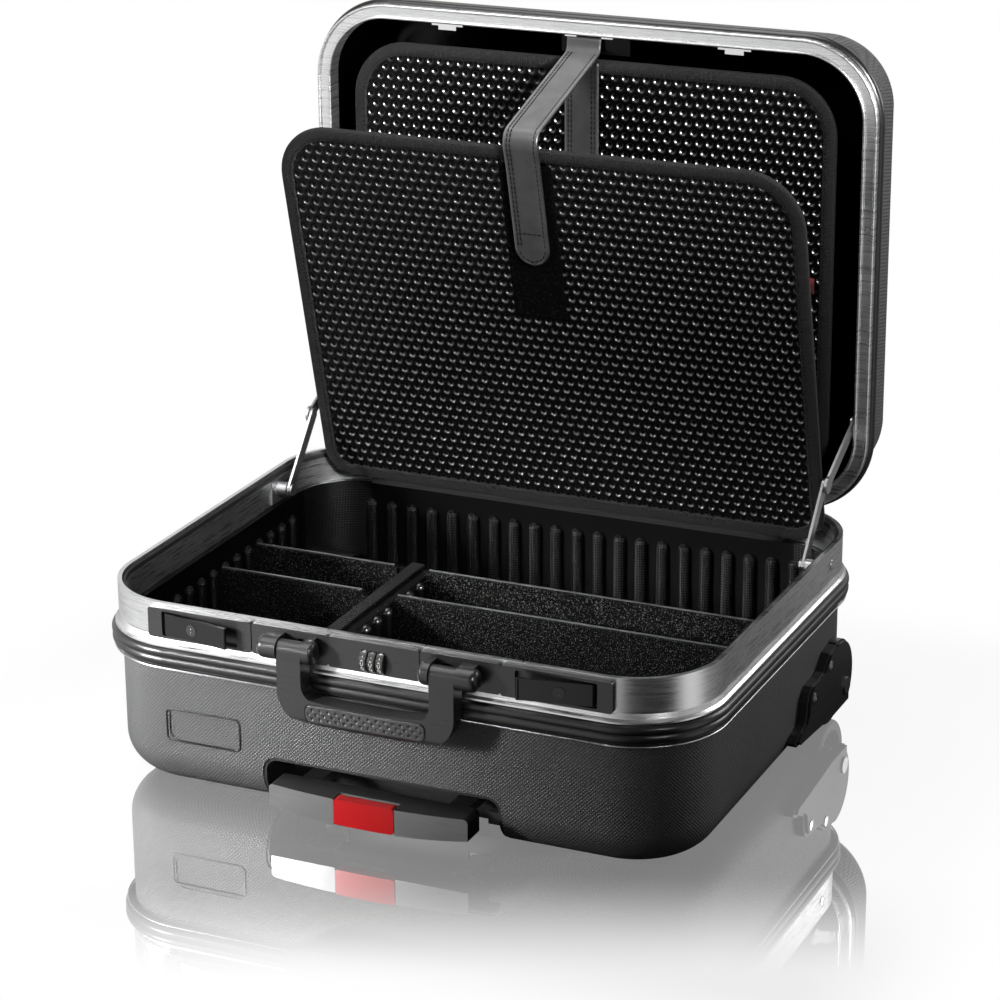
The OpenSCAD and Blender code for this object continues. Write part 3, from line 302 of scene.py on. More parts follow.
def fabric_finish(name, low, high, across=0.55, v=None, rough=0.85, sheen=0.25):
    """Plain woven cloth: threads over and under, with slub."""
    f = Finish(name, low, rough, Sheen_Weight=sheen, Sheen_Roughness=0.5, Specular_IOR_Level=0.3)
    v = f.z if v is None else v(f)
    warp = (f.x * (math.pi / across)).sin()
    weft = (v * (math.pi / across)).sin()
    weave = (warp * weft) * 0.5 + 0.5
    slub = f.noise(220, 3)
    f.set("Base Color", (weave * 0.5 + slub * 0.5).mix(low, high))
    f.set("Roughness", rough - 0.06 + slub * 0.12)
    f.bump(weave * 0.7 + slub * 0.3, 0.16, 0.7)
    return f


def felt_finish():
    """Cross divider: black board flecked with pale fibres, with a thin metal edge on top."""
    f = Finish("divider_board", 0.01, 0.8, Specular_IOR_Level=0.06)
    fleck, cloud = f.noise(1000, 1), f.noise(300, 2)
    edge = f.z.rise(DIVIDER_TOP + 0.15, DIVIDER_TOP + 0.3)
    spots = fleck.rise(0.56, 0.72) * cloud.rise(0.3, 0.6)
    f.set("Base Color", edge.mix(spots.mix(0.001, 0.2), 0.8))
    f.set("Metallic", edge)
    f.set("Roughness", 0.75 - edge * 0.45)
    f.bump(fleck, 0.3, 0.6)
    return f


def lining_finish():
    """Lid lining: glossy black sheet with soft waves from forming."""
    f = Finish("lining_gloss", 0.004, 0.22, Specular_IOR_Level=0.14)
    wave, grain = f.noise(9, 1), f.noise(500, 2)
    f.set("Base Color", wave.mix(0.002, 0.006))
    f.set("Roughness", 0.15 + wave * 0.1 + grain * 0.05)
    f.bump(wave, 1.6, 0.25)
    f.bump(grain, 0.02, 0.4)
    return f


def tyre_finish():
    """Wheel: rubber tread outside, moulded disc inside, told apart by the distance from the axle."""
    f = Finish("wheel_rubber", 0.03, 0.6)
    reach = f.wire.math("SQRT", (f.y - 142.0) * (f.y - 142.0) + (f.z - 28.5) * (f.z - 28.5))
    tread = reach.rise(25.5, 26.5)
    angle = f.wire.math("ARCTAN2", f.y - 142.0, f.z - 28.5)
    ribs = abs((angle * 45).sin()) * reach.rise(33.5, 34.5)
    grain = f.noise(1200, 2)
    f.set("Base Color", tread.mix(0.05, grain.mix(0.014, 0.03)))
    f.set("Roughness", 0.42 + tread * 0.3)
    f.bump(grain, 0.06, 0.5)
    f.bump(ribs, 0.4, 0.5)
    return f


def leather_finish(edge=12.8):
    """Smooth dark leather, paler at its rolled edges; the piece's own UV u runs across (mm)."""
    f = Finish("strap_leather", 0.05, 0.4, Specular_IOR_Level=0.5)
    pores, creases = f.cells(1500), f.noise(70, 4)
    across = abs(f.wire.node("SeparateXYZ", sockets={0: f.uv}, out=0))
    # The colour turns paler towards the rolled edges.
    pale_edge = across.rise(edge, edge + 1.2)
    f.set("Base Color", (creases * 0.6 + pores * 0.15 + pale_edge * 0.5).mix(0.12, 0.4))
    f.set("Roughness", 0.3 + creases * 0.18)
    f.bump(pores, 0.05, 0.5)
    f.bump(creases, 0.25, 0.35)
    return f


def hook_finish():
    """Hook tape: dense short black hooks in rows."""
    f = Finish("hook_tape", 0.01, 0.92, Sheen_Weight=0.0, Sheen_Roughness=0.4, Specular_IOR_Level=0.03)
    hooks, tufts = f.cells(1100), f.noise(420, 3)
    f.set("Base Color", (tufts.rise(0.45, 0.8) * hooks.rise(0.2, 0.5)).mix(0.002, 0.035))
    f.set("Roughness", 0.85 + tufts * 0.1)
    f.bump(hooks, 0.6, 0.8)
    f.bump(tufts, 0.8, 0.7)
    return f


def board_finish():
    """Board panel: dark satin sheet between its dimples, faintly clouded."""
    f = Finish("board_panel", 0.02, 0.3, Specular_IOR_Level=0.14)
    cloud, grain = f.noise(10, 3), f.noise(1300, 2)
    f.set("Base Color", (cloud * 0.5 + grain * 0.5).mix(0.003, 0.009))
    f.set("Roughness", 0.24 + cloud * 0.06 + grain * 0.08)
    f.bump(grain, 0.04, 0.5)
    return f


def pit_finish():
    """Inside of the dimples: glossier, and darker as painted shade in the hollows."""
    f = Finish("board_dimples", 0.003, 0.36, Specular_IOR_Level=1.0)
    grain = f.noise(1300, 2)
    # Painted shade: the dimples' walls are coloured darker than the sheet around them.
    f.set("Base Color", grain.mix(0.0015, 0.005))
    f.set("Roughness", 0.3 + grain * 0.08)
    f.bump(grain, 0.03, 0.4)
    return f


def binding_finish():
    """Ribbed binding tape: UV u runs across (mm), v along (mm); stitched near its inner edge."""
    f = Finish("board_binding", 0.03, 0.75, Sheen_Weight=0.03, Sheen_Roughness=0.5, Specular_IOR_Level=0.22)
    across = f.wire.node("SeparateXYZ", sockets={0: f.uv}, out=0)
    along = f.wire.node("SeparateXYZ", sockets={0: f.uv}, out=1)
    ribs = abs((along * (math.pi / 1.5)).sin())
    threads = (across * (math.pi / 0.55)).sin() * 0.5 + 0.5
    slub = f.noise(260, 3)
    f.set("Base Color", (ribs * 0.45 + threads * 0.15 + slub * 0.4).mix(0.001, 0.034))
    f.set("Roughness", 0.68 + slub * 0.14)
    f.bump(ribs * 0.7 + threads * 0.3, 0.5, 0.9)
    f.bump(slub, 0.15, 0.5)
    return f


def thread_finish():
    """Sewing thread, twisted."""
    f = Finish("thread_dark", 0.03, 0.7, Specular_IOR_Level=0.1)
    ply = f.noise(2500, 2)
    f.set("Base Color", ply.mix(0.001, 0.006))
    f.set("Roughness", 0.6 + ply * 0.15)
    f.bump(ply, 0.05, 0.6)
    return f


def fittings_finish():
    """Fittings: satin black with faint level drawing lines."""
    f = Finish("fittings_black", 0.03, 0.3, Specular_IOR_Level=0.55)
    lines = f.noise(1.0, 3, f.wire.node("Mapping", sockets={0: f.place, 3: (40, 40, 1300)}))
    grain, cloud = f.noise(1200, 3), f.noise(14, 3)
    f.set("Base Color", (lines * 0.4 + cloud * 0.3 + grain * 0.3).mix(0.012, 0.055))
    f.set("Roughness", 0.2 + lines * 0.12 + grain * 0.08)
    f.bump(lines * 0.5 + grain * 0.5, 0.04, 0.6)
    return f


def bail_finish():
    """Trolley grip: black on top; faces turned to the front are brushed grey, partly the grip's own grey front and
    partly painted sheen.
    """
    f = Finish("trolley_grip_satin", 0.03, 0.34, Specular_IOR_Level=0.5)
    # Faces turned toward the front, picked by their normal: their paler grey is partly the grip's grey front and
    # partly painted sheen.
    front = (-f.wire.node("SeparateXYZ", sockets={0: f.wire.node("TexCoord", out=1)}, out=1)).rise(0.75, 0.92)
    lines = f.noise(1.0, 3, f.wire.node("Mapping", sockets={0: f.place, 3: (40, 40, 1100)}))
    cloud = f.noise(40, 3)
    f.set("Base Color", (lines * 0.6 + cloud * 0.4).mix(front.mix(0.008, 0.16), front.mix(0.03, 0.34)))
    f.set("Metallic", front * 0.5)
    f.set("Roughness", 0.3 + lines * 0.16)
    f.bump(lines, 0.06, 0.6)
    return f


def dial_finish():
    """Number wheels: black satin with a fine random grain."""
    return grained_finish("dial_satin", 0.02, 0.04, 0.34, 1500, 0.03)


def digit_finish():
    """Paint of the plain digits."""
    return grained_finish("digit_paint", (0.72, 0.72, 0.7), (0.85, 0.85, 0.83), 0.5, 900, 0.02)


finishes = {
    "shell": shell_finish(),
    "edging": edging_finish(),
    "aluminium": aluminium_finish(),
    "seal": rubber_finish("seal_rubber", 0.012, 0.026, 0.6),
    "tray": tray_finish(),
    "felt": felt_finish(),
    "steel": metal_finish("steel_satin", (0.5, 0.5, 0.51), (0.74, 0.74, 0.75), 0.3),
    "bright": metal_finish("metal_polished", (0.78, 0.78, 0.79), (0.9, 0.9, 0.91), 0.16, relief=0.01),
    "black_plastic": fittings_finish(),
    "red_plastic": grained_finish("button_red", (0.42, 0.004, 0.006), (0.6, 0.01, 0.012), 0.32, 900, 0.03),
    "tyre": tyre_finish(),
    "grip_rubber": rubber_finish("grip_soft", 0.05, 0.1, 0.4),
    "dial": dial_finish(),
    "lining": lining_finish(),
    "board": board_finish(),
    "strap": leather_finish(),
    "hooks": hook_finish(),
    "red_fabric": fabric_finish("tab_red", (0.4, 0.01, 0.015), (0.72, 0.03, 0.04), 0.5),
}
pit = pit_finish()
binding = binding_finish()
thread = thread_finish()
digit = digit_finish()
ridge = grained_finish("ridge_moulded", 0.004, 0.03, 0.24, 500, 0.12, Specular_IOR_Level=0.9)
hinge_cloth = fabric_finish("hinge_cloth", 0.004, 0.03, 0.9, v=lambda f: f.z + f.y, sheen=0.1)

lever = grained_finish("lever_gloss", 0.004, 0.014, 0.22, 1200, 0.03)
special = {"latch_lever_left": lever, "latch_lever_right": lever, "trolley_grip": bail_finish()}

for name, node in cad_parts.items():
    for held in node.material_slots:
        slot_name = held.material.name.split(".")[0]
        if slot_name in finishes:
            held.material = special.get(name, finishes[slot_name]).material


# ---------------------------------------------------------------- pieces


def piece(name, bm, body, *materials, slot=None, smooth=True, stands_for=(), matrix=None):
    """Turns a bmesh in millimetres into a piece that rides on a body."""
    if matrix is not None:
        bmesh.ops.transform(bm, matrix=matrix, verts=bm.verts)
    bmesh.ops.scale(bm, vec=(MM, MM, MM), verts=bm.verts)
    mesh = bpy.data.meshes.new(name)
    for face in bm.faces:
        face.smooth = smooth
    bm.to_mesh(mesh)
    bm.free()
    for material in materials:
        mesh.materials.append(material.material)
    made = bpy.data.objects.new(name, mesh)
    bpy.context.scene.collection.objects.link(made)
    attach(made, body)
    if stands_for:
        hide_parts(*stands_for)
    return made


def draw(bm, verts, step):
    """Extrudes a line of vertices by a step and returns the new line, in order."""
    edges = [bm.edges.get((a, b)) for a, b in zip(verts, verts[1:])]
    made = bmesh.ops.extrude_edge_only(bm, edges=edges)["geom"]
    new = [g for g in made if isinstance(g, bmesh.types.BMVert)]
    bmesh.ops.translate(bm, vec=step, verts=new)
    return new


def board_matrix():
    """Board's own frame: x across, y up its face, z out of it toward the viewer."""
    lean = Matrix.Rotation(math.radians(90 + BOARD_LEAN), 4, "X")
    return Matrix.Translation((0, BOARD_Y, BOARD_Z)) @ lean


REAR_FRAME = Matrix.Translation((0, REAR_FACE + 3, REAR_LOW)) @ Matrix.Rotation(math.radians(90), 4, "X")


def depth_in(x, y, half, length, high_r, low_r):
    """How far a point lies inside the board's outline; negative outside."""
    r = high_r if y > length / 2 else low_r
    to_x, to_y = half - abs(x), min(y, length - y)
    if to_x < r and to_y < r:
        return r - math.hypot(r - to_x, r - to_y)
    return min(to_x, to_y)


def dimpled_panel(half, length, high_r, low_r, keep_free):
    """A sheet of six-sided cells, each with a round dimple, under the binding's inner edge."""
    bm = bmesh.new()
    step = HEX_PITCH * math.sqrt(3) / 2
    rim = []
    for k in range(6):
        a, b = (
            Vector((math.cos(t), math.sin(t), 0)) * (HEX_PITCH / math.sqrt(3))
            for t in (math.radians(30 + 60 * k), math.radians(90 + 60 * k))
        )
        rim += [bm.verts.new(a), bm.verts.new((a + b) / 2)]
    cell = bm.faces.new(rim)
    # The dimples' walls take the second material, which is darker as painted shade in the hollows.
    for depth, radius, material in ((0.0, CUP_R, 0), (-0.56, 2.7, 1), (-1.13, 2.0, 1), (-1.57, 1.0, 0)):
        old = set(bm.faces)
        bmesh.ops.inset_individual(bm, faces=[cell], thickness=0.2, use_even_offset=False)
        for face in set(bm.faces) - old:
            face.material_index = material
        cell.material_index = material
        for v in cell.verts:
            flat = Vector((v.co.x, v.co.y, 0)).normalized() * radius
            v.co = Vector((flat.x, flat.y, depth))
    unit = bpy.data.meshes.new("cell")
    bm.to_mesh(unit)
    bm.free()
    centres = []
    for row in range(int(length / step) + 1):
        for col in range(-int(half / HEX_PITCH) - 1, int(half / HEX_PITCH) + 2):
            x, y = (col + 0.5 * (row % 2)) * HEX_PITCH, 4.0 + row * step
            if depth_in(x, y, half, length, high_r, low_r) >= 6.2 and not keep_free(x, y):
                centres.append(Vector((x, y, 0)))
    bm = stamped(unit, centres)
    bmesh.ops.remove_doubles(bm, verts=bm.verts, dist=0.02)
    return bm


def stamped(unit, centres):
    """A bmesh with a copy of the unit mesh at each centre, moved in one pass."""
    bm = bmesh.new()
    for _ in centres:
        bm.from_mesh(unit)
    size = len(unit.vertices)
    bm.verts.ensure_lookup_table()
    for k, centre in enumerate(centres):
        for v in bm.verts[k * size:(k + 1) * size]:
            v.co += centre
    bpy.data.meshes.remove(unit)
    return bm


def round_line(half, length, high_r, low_r, inset, height, steps=14):
    """Closed loop of points round a board at an inset and a height."""
    points = []
    corners = (
        (half - low_r, low_r, low_r, -90),
        (half - high_r, length - high_r, high_r, 0),
        (-half + high_r, length - high_r, high_r, 90),
        (-half + low_r, low_r, low_r, 180),
    )
    for cx, cy, r, start in corners:
        for k in range(steps + 1):
            a = math.radians(start + 90 * k / steps)
            points.append(Vector((cx + (r - inset) * math.cos(a), cy + (r - inset) * math.sin(a), height)))
    return points


def binding_ring(half, length, high_r, low_r, wide=11.0, thick=6.0):
    """Folded binding tape round a board: a closed crowned section carried round the outline."""
    section = [
        (wide, 1.4), (wide - 0.1, 2.2), (wide - 1.0, 2.65), (wide / 2, thick / 2 - 0.05), (2.2, 2.75), (0.7, 2.2),
        (0.0, 0.9), (0.0, -0.9), (0.7, -2.2), (2.2, -2.75), (wide / 2, -thick / 2 + 0.05), (wide - 1.0, -2.65),
        (wide - 0.1, -2.2), (wide, -1.4),
    ]
    bm = bmesh.new()
    lines = []
    for inset, height in section:
        loop = [bm.verts.new(p) for p in round_line(half, length, high_r, low_r, inset, height)]
        lines.append([bm.edges.new((a, b)) for a, b in zip(loop, loop[1:] + loop[:1])])
    for first, second in zip(lines, lines[1:] + lines[:1]):
        bmesh.ops.bridge_loops(bm, edges=first + second)
    bmesh.ops.recalc_face_normals(bm, faces=bm.faces)
    # The tape's own measures: across it and along it.
    layer = bm.loops.layers.uv.new("UVMap")
    loop = round_line(half, length, high_r, low_r, 5.0, 0.0)
    starts, total = [], 0.0
    for a, b in zip(loop, loop[1:] + loop[:1]):
        starts.append(total)
        total += (b - a).length
    count = len(loop)
    bm.verts.index_update()
    for face in bm.faces:
        places = [v.index % count for v in face.verts]
        closing = min(places) == 0 and max(places) == count - 1
        for corner in face.loops:
            place = corner.vert.index % count
            along = total if closing and place == 0 else starts[place]
            inset = depth_in(corner.vert.co.x, corner.vert.co.y, half, length, high_r, low_r)
            corner[layer].uv = (inset, along)
    return bm


def stitches(rows, points, long=2.6, gap=1.1):
    """Adds to rows the two ends and the middle of each stitch along a line of points."""
    walk, total = [], 0.0
    for a, b in zip(points, points[1:]):
        walk.append((a, b, total, (b - a).length))
        total += (b - a).length

    def point_at(s):
        for a, b, start, size in walk:
            if s <= start + size:
                return a.lerp(b, (s - start) / max(size, 1e-6))
        return points[-1]

    s = gap
    while s + long < total:
        rows.append([point_at(s), point_at(s + long / 2), point_at(s + long)])
        s += long + gap


def bars(rows, radius, sides=1):
    """A bmesh of round bars along short lines of points, closed at their ends."""
    curve = bpy.data.curves.new("bars", "CURVE")
    curve.dimensions = "3D"
    curve.bevel_depth, curve.bevel_resolution, curve.use_fill_caps = radius, sides, True
    for row in rows:
        line = curve.splines.new("POLY")
        line.points.add(len(row) - 1)
        for point, place in zip(line.points, row):
            point.co = (*place, 1)
    made = bpy.data.objects.new("bars", curve)
    bpy.context.scene.collection.objects.link(made)
    bpy.context.view_layer.update()
    mesh = made.to_mesh()
    bm = bmesh.new()
    bm.from_mesh(mesh)
    made.to_mesh_clear()
    bpy.data.objects.remove(made)
    bmesh.ops.remove_doubles(bm, verts=bm.verts, dist=0.0005)
    return bm


def make_board(name, half, length, high_r, low_r, matrix, body, node, keep_free=lambda x, y: False):
    bm = dimpled_panel(half, length, high_r, low_r, keep_free)
    bmesh.ops.translate(bm, vec=(0, 0, 1.5), verts=bm.verts)
    back = [bm.verts.new(p) for p in round_line(half, length, high_r, low_r, 5.0, -1.5)]
    bm.faces.new(list(reversed(back)))
    panel = piece(name + "_panel", bm, body, finishes["board"], pit, slot="board", stands_for=(node,), matrix=matrix)
    ring = binding_ring(half, length, high_r, low_r)
    piece(name + "_binding", ring, body, binding, slot="board", matrix=matrix)
    rows = []
    for side in (2.85, -2.85):
        line = round_line(half, length, high_r, low_r, 8.6, side)
        stitches(rows, line + line[:1], 2.4, 1.2)
    piece(name + "_stitches", bars(rows, 0.3), body, thread, slot="board", matrix=matrix)
    return panel


make_board(
    "front_board", BOARD_X, BOARD_LONG, FRONT_HIGH_R, FRONT_LOW_R, board_matrix(), "front_board", "front_board",
    lambda x, y: abs(x - PATCH_X) < 19 and abs(y - PATCH_Z) < 65,
)
make_board(
    "rear_board", REAR_X, REAR_HIGH - REAR_LOW, REAR_HIGH_R, REAR_LOW_R, REAR_FRAME, "rear_board", "rear_board",
)


# ---------------------------------------------------------------- hinge strip under the front board


def hinge_strip():
    """Cloth strip from the board's foot to the ledge behind it, bent where it turns."""
    back = BOARD_Y + 3.3
    bm = bmesh.new()
    profile = [
        (back + 0.2, BOARD_Z + 2), (back + 0.2, 134), (back + 0.6, 131.9), (back + 2.5, 131.4), (182, 131.3),
        (CASE_Y - 8, 131.2),
    ]
    verts = [bm.verts.new((-BOARD_X + 40, y, z)) for y, z in profile]
    for a, b in zip(verts, verts[1:]):
        bm.edges.new((a, b))
    line = verts
    for _ in range(24):
        line = draw(bm, line, ((2 * BOARD_X - 80) / 24, 0, 0))
    bmesh.ops.recalc_face_normals(bm, faces=bm.faces)
    bmesh.ops.solidify(bm, geom=list(bm.faces), thickness=1.0)
    bmesh.ops.recalc_face_normals(bm, faces=bm.faces)
    return bm


piece("hinge_strip", hinge_strip(), "base", hinge_cloth, slot="felt", stands_for=("board_flap",))


# ---------------------------------------------------------------- straps


def on_board(up, out):
    """Point on the front board's middle line, up its face and out from it."""
    return board_matrix() @ Vector((0, up, out))


def bent(points, radius):
    """Open line of straight runs whose corners are rounded."""
    line = [points[0]]
    for before, corner, after in zip(points, points[1:], points[2:]):
        into, away = (before - corner).length, (after - corner).length
        reach = min(radius, into * 0.45, away * 0.45)
        start, stop = corner.lerp(before, reach / into), corner.lerp(after, reach / away)
        for k in range(7):
            line.append(start.lerp(corner, k / 6).lerp(corner.lerp(stop, k / 6), k / 6))
    return line + [points[-1]]


def resample(points, step):
    out, left = [points[0]], step
    for a, b in zip(points, points[1:]):
        size, done = (b - a).length, 0.0
        while size - done >= left:
            done += left
            out.append(a.lerp(b, done / size))
            left = step
        left -= size - done
    if (out[-1] - points[-1]).length > step * 0.3:
        out.append(points[-1])
    return out


def strap(path, wide, thick, middle=0.0, round_end=True):
    """A leather strap along a path in the YZ plane: rolled edges, crowned face, round far end."""
    across = [-1.0, -0.985, -0.93, -0.83, -0.7, -0.35, 0.0, 0.35, 0.7, 0.83, 0.93, 0.985, 1.0]
    lift = [0.0, 0.55, 0.95, 1.0, 0.72, 0.74, 0.76, 0.74, 0.72, 1.0, 0.95, 0.55, 0.0]
    section = [(share, 0.45 + 0.5 * rise) for share, rise in zip(across, lift)]
    section += [(share, 0.04) for share in (0.96, 0.5, 0.0, -0.5, -0.96)]
    bm = bmesh.new()
    layer = bm.loops.layers.uv.new("UVMap")
    points = resample(path, 2.5)
    total = sum((b - a).length for a, b in zip(points, points[1:]))
    done, rings, marks = 0.0, [], {}
    for k, p in enumerate(points):
        if k:
            done += (p - points[k - 1]).length
        ahead = (points[min(k + 1, len(points) - 1)] - points[max(k - 1, 0)]).normalized()
        normal = Vector((0, ahead.z, -ahead.y))
        left = total - done
        half = wide / 2
        if round_end and left < half:
            half = math.sqrt(max(half * half - (half - left) ** 2, 0.16))
        ring = []
        for share, rise in section:
            ring.append(bm.verts.new(p + Vector((middle + share * half, 0, 0)) + normal * (thick * rise)))
            marks[ring[-1]] = (share * half, done)
        rings.append([bm.edges.new((a, b)) for a, b in zip(ring, ring[1:] + ring[:1])])
    for first, second in zip(rings, rings[1:]):
        bmesh.ops.bridge_loops(bm, edges=first + second)
    for ring in (rings[0], rings[-1]):
        bmesh.ops.contextual_create(bm, geom=ring)
    bmesh.ops.recalc_face_normals(bm, faces=bm.faces)
    for face in bm.faces:
        for corner in face.loops:
            corner[layer].uv = marks.get(corner.vert, (0, 0))
    return bm


def strap_stitches(path, offsets, thick, middle, start, stop, end_round, wide, height=0.83):
    """Stitch rows along a strap's face at offsets from its middle, and round its end."""
    rows = []
    points = resample(path, 1.2)
    places, done = [], 0.0
    for k, p in enumerate(points):
        if k:
            done += (p - points[k - 1]).length
        ahead = (points[min(k + 1, len(points) - 1)] - points[max(k - 1, 0)]).normalized()
        places.append((done, p, Vector((0, ahead.z, -ahead.y))))
    total = done
    for offset in offsets:
        row = [
            p + Vector((middle + offset, 0, 0)) + normal * (thick * height)
            for s, p, normal in places
            if start < s < total - (wide / 2 if end_round else stop)
        ]
        stitches(rows, row, 3.0, 1.2)
    if end_round:
        inner = wide / 2 - 3.4
        arc = []
        for k in range(21):
            a = math.pi * k / 20
            s = total - wide / 2 + inner * math.sin(a)
            p, normal = min(places, key=lambda q: abs(q[0] - s))[1:]
            arc.append(p + Vector((middle + inner * math.cos(a), 0, 0)) + normal * (thick * height))
        stitches(rows, arc, 3.0, 1.2)
        cross = min(places, key=lambda q: abs(q[0] - (total - wide * 0.95)))
        row = [cross[1] + Vector((middle + x, 0, 0)) + cross[2] * (thick * height) for x in (-inner, 0, inner)]
        stitches(rows, row, 3.0, 1.2)
    return bars(rows, 0.52)


strap_path = bent(
    [
        Vector((0, 212.5, 528)), Vector((0, 211.0, 515)),
        on_board(349.5, 1.0), on_board(342, 6.2), on_board(322, 4.7), on_board(234, 4.6),
    ],
    9,
)
long_strap = piece(
    "long_strap", strap(strap_path, STRAP_WIDE, STRAP_T, STRAP_X), "lid", finishes["strap"],
    slot="strap", stands_for=("board_strap",),
)
long_stitches = piece(
    "long_strap_stitches",
    strap_stitches(strap_path, (-11.6, -8.9, 11.6), STRAP_T, STRAP_X, 14, 6, True, STRAP_WIDE),
    "lid", thread, slot="strap",
)
for soft in (long_strap, long_stitches):
    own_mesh(soft)

rear_path = [Vector((0, REAR_FACE - 0.4, 509)), Vector((0, REAR_FACE - 0.3, 450)), Vector((0, REAR_FACE - 0.3, 391))]
piece(
    "rear_strap_leather", strap(rear_path, STRAP_WIDE, STRAP_T, STRAP_X, False), "rear_board", finishes["strap"],
    slot="strap", stands_for=("rear_strap",),
)
piece(
    "rear_strap_stitches",
    strap_stitches(rear_path, (-11.6, 11.6, -8.9, 8.9), STRAP_T, STRAP_X, 4, 4, False, STRAP_WIDE),
    "rear_board", thread, slot="strap",
)


# ---------------------------------------------------------------- hook tape and tab


def hook_patch():
    """Tape of hooks: a low pad with ragged rows of short hooks."""
    bm = bmesh.new()
    bmesh.ops.create_grid(bm, x_segments=50, y_segments=175, size=0.5)
    bmesh.ops.scale(bm, vec=(PATCH_WIDE, PATCH_LONG, 1), verts=bm.verts)
    for v in bm.verts:
        edge = min(PATCH_WIDE / 2 - abs(v.co.x), PATCH_LONG / 2 - abs(v.co.y))
        wave = math.sin(v.co.x * 5.3 + 1.7 * math.sin(v.co.y * 3.1)) * math.sin(v.co.y * 4.7 + v.co.x)
        v.co.z = (1.0 + 0.35 * wave) * min(edge / 1.6, 1.0)
    bmesh.ops.translate(bm, vec=(PATCH_X, PATCH_Z, 1.55), verts=bm.verts)
    bmesh.ops.solidify(bm, geom=list(bm.faces), thickness=0.05)
    return bm


piece(
    "hook_tape", hook_patch(), "front_board", finishes["hooks"],
    slot="hooks", stands_for=("hook_patch",), matrix=board_matrix(),
)


def red_tab():
    """Folded woven tab with a soft loop end."""
    bm = bmesh.new()
    half_loop = [(0.0, 0.9), (5.0, 1.0), (9.5, 1.25), (11.6, 1.1), (12.7, 0.5)]
    loop = half_loop + [(13.0, 0.0)] + [(s, -w) for s, w in reversed(half_loop)]
    verts = [bm.verts.new((188, 207.1 + w, 348 - s)) for s, w in loop]
    for a, b in zip(verts, verts[1:]):
        bm.edges.new((a, b))
    line = verts
    for _ in range(10):
        line = draw(bm, line, (1.0, 0, 0))
    bmesh.ops.recalc_face_normals(bm, faces=bm.faces)
    bmesh.ops.solidify(bm, geom=list(bm.faces), thickness=0.35)
    bmesh.ops.recalc_face_normals(bm, faces=bm.faces)
    return bm


piece("red_tab", red_tab(), "rear_board", finishes["red_fabric"], slot="red_fabric", stands_for=("pull_tab",))


# ---------------------------------------------------------------- handle inlay


def grip_inlay():
    """Soft inlay with small round dimples on the front of the carry handle."""
    bm = bmesh.new()
    bmesh.ops.create_grid(bm, x_segments=200, y_segments=30, size=0.5)
    bmesh.ops.scale(bm, vec=(GRIP_WIDE, GRIP_TALL, 1), verts=bm.verts)
    for v in bm.verts:
        x, y = v.co.x, v.co.y
        drop = min(GRIP_WIDE / 2 - abs(x), GRIP_TALL / 2 - abs(y))
        row = round(y / DIMPLE_ROW)
        shift = DIMPLE_PITCH / 2 * (row % 2)
        dx = (x - shift + DIMPLE_PITCH / 2) % DIMPLE_PITCH - DIMPLE_PITCH / 2
        dy = y - row * DIMPLE_ROW
        pit_depth = max(0.0, 1 - math.hypot(dx, dy) / 1.5)
        inside = min(max((drop - 1.0) / 1.0, 0.0), 1.0)
        v.co.z = 0.5 * min(max(drop / 1.2, 0.0), 1.0) - 1.0 * min(pit_depth * 1.6, 1.0) * inside
        v.co.y = y * (1.0 if abs(x) < 44 else math.sqrt(max(1 - ((abs(x) - 44) / 5.6) ** 2 * 0.9, 0.05)))
    bmesh.ops.solidify(bm, geom=list(bm.faces), thickness=0.05)
    front = PIVOT_Y + 7.5 - 15
    place = Matrix.Translation((0, front - 0.1, GRIP_LOW + 11)) @ Matrix.Rotation(math.radians(90), 4, "X")
    bmesh.ops.transform(bm, matrix=place, verts=bm.verts)
    return bm


piece(
    "grip_inlay", grip_inlay(), "carry_handle", finishes["grip_rubber"],
    slot="grip_rubber", stands_for=("handle_pad",),
)


# ---------------------------------------------------------------- corrugated divider


def corrugated_divider():
    """Hollow moulded divider: a ribbed ridge between two rows of upright round ribs."""
    bm = bmesh.new()
    low, half = 48.3, RIDGE_WIDE / 2
    section = [
        (-half, low), (half, low), (half, DIVIDER_TOP - 11), (half - 1.5, DIVIDER_TOP - 7), (6.4, DIVIDER_TOP - 5),
        (6.0, DIVIDER_TOP - 0.6), (5.4, DIVIDER_TOP),
    ]
    section += [(-x, z) for x, z in reversed(section[2:])]
    front = [bm.verts.new((RIDGE_X + x, RIDGE_FRONT, z)) for x, z in section]
    face = bm.faces.new(front)
    steps = int((RIDGE_BACK - RIDGE_FRONT) / 2.0)
    for k in range(steps):
        face = bmesh.ops.extrude_discrete_faces(bm, faces=[face])["faces"][0]
        lift = -0.45 if k % 2 == 0 else 0.45
        for v in face.verts:
            v.co.y = RIDGE_FRONT + (RIDGE_BACK - RIDGE_FRONT) * (k + 1) / steps
            if v.co.z > DIVIDER_TOP - 0.9:
                v.co.z += lift if k < steps - 1 else 0
    bmesh.ops.remove_doubles(bm, verts=bm.verts, dist=0.001)
    bmesh.ops.recalc_face_normals(bm, faces=bm.faces)
    return bm


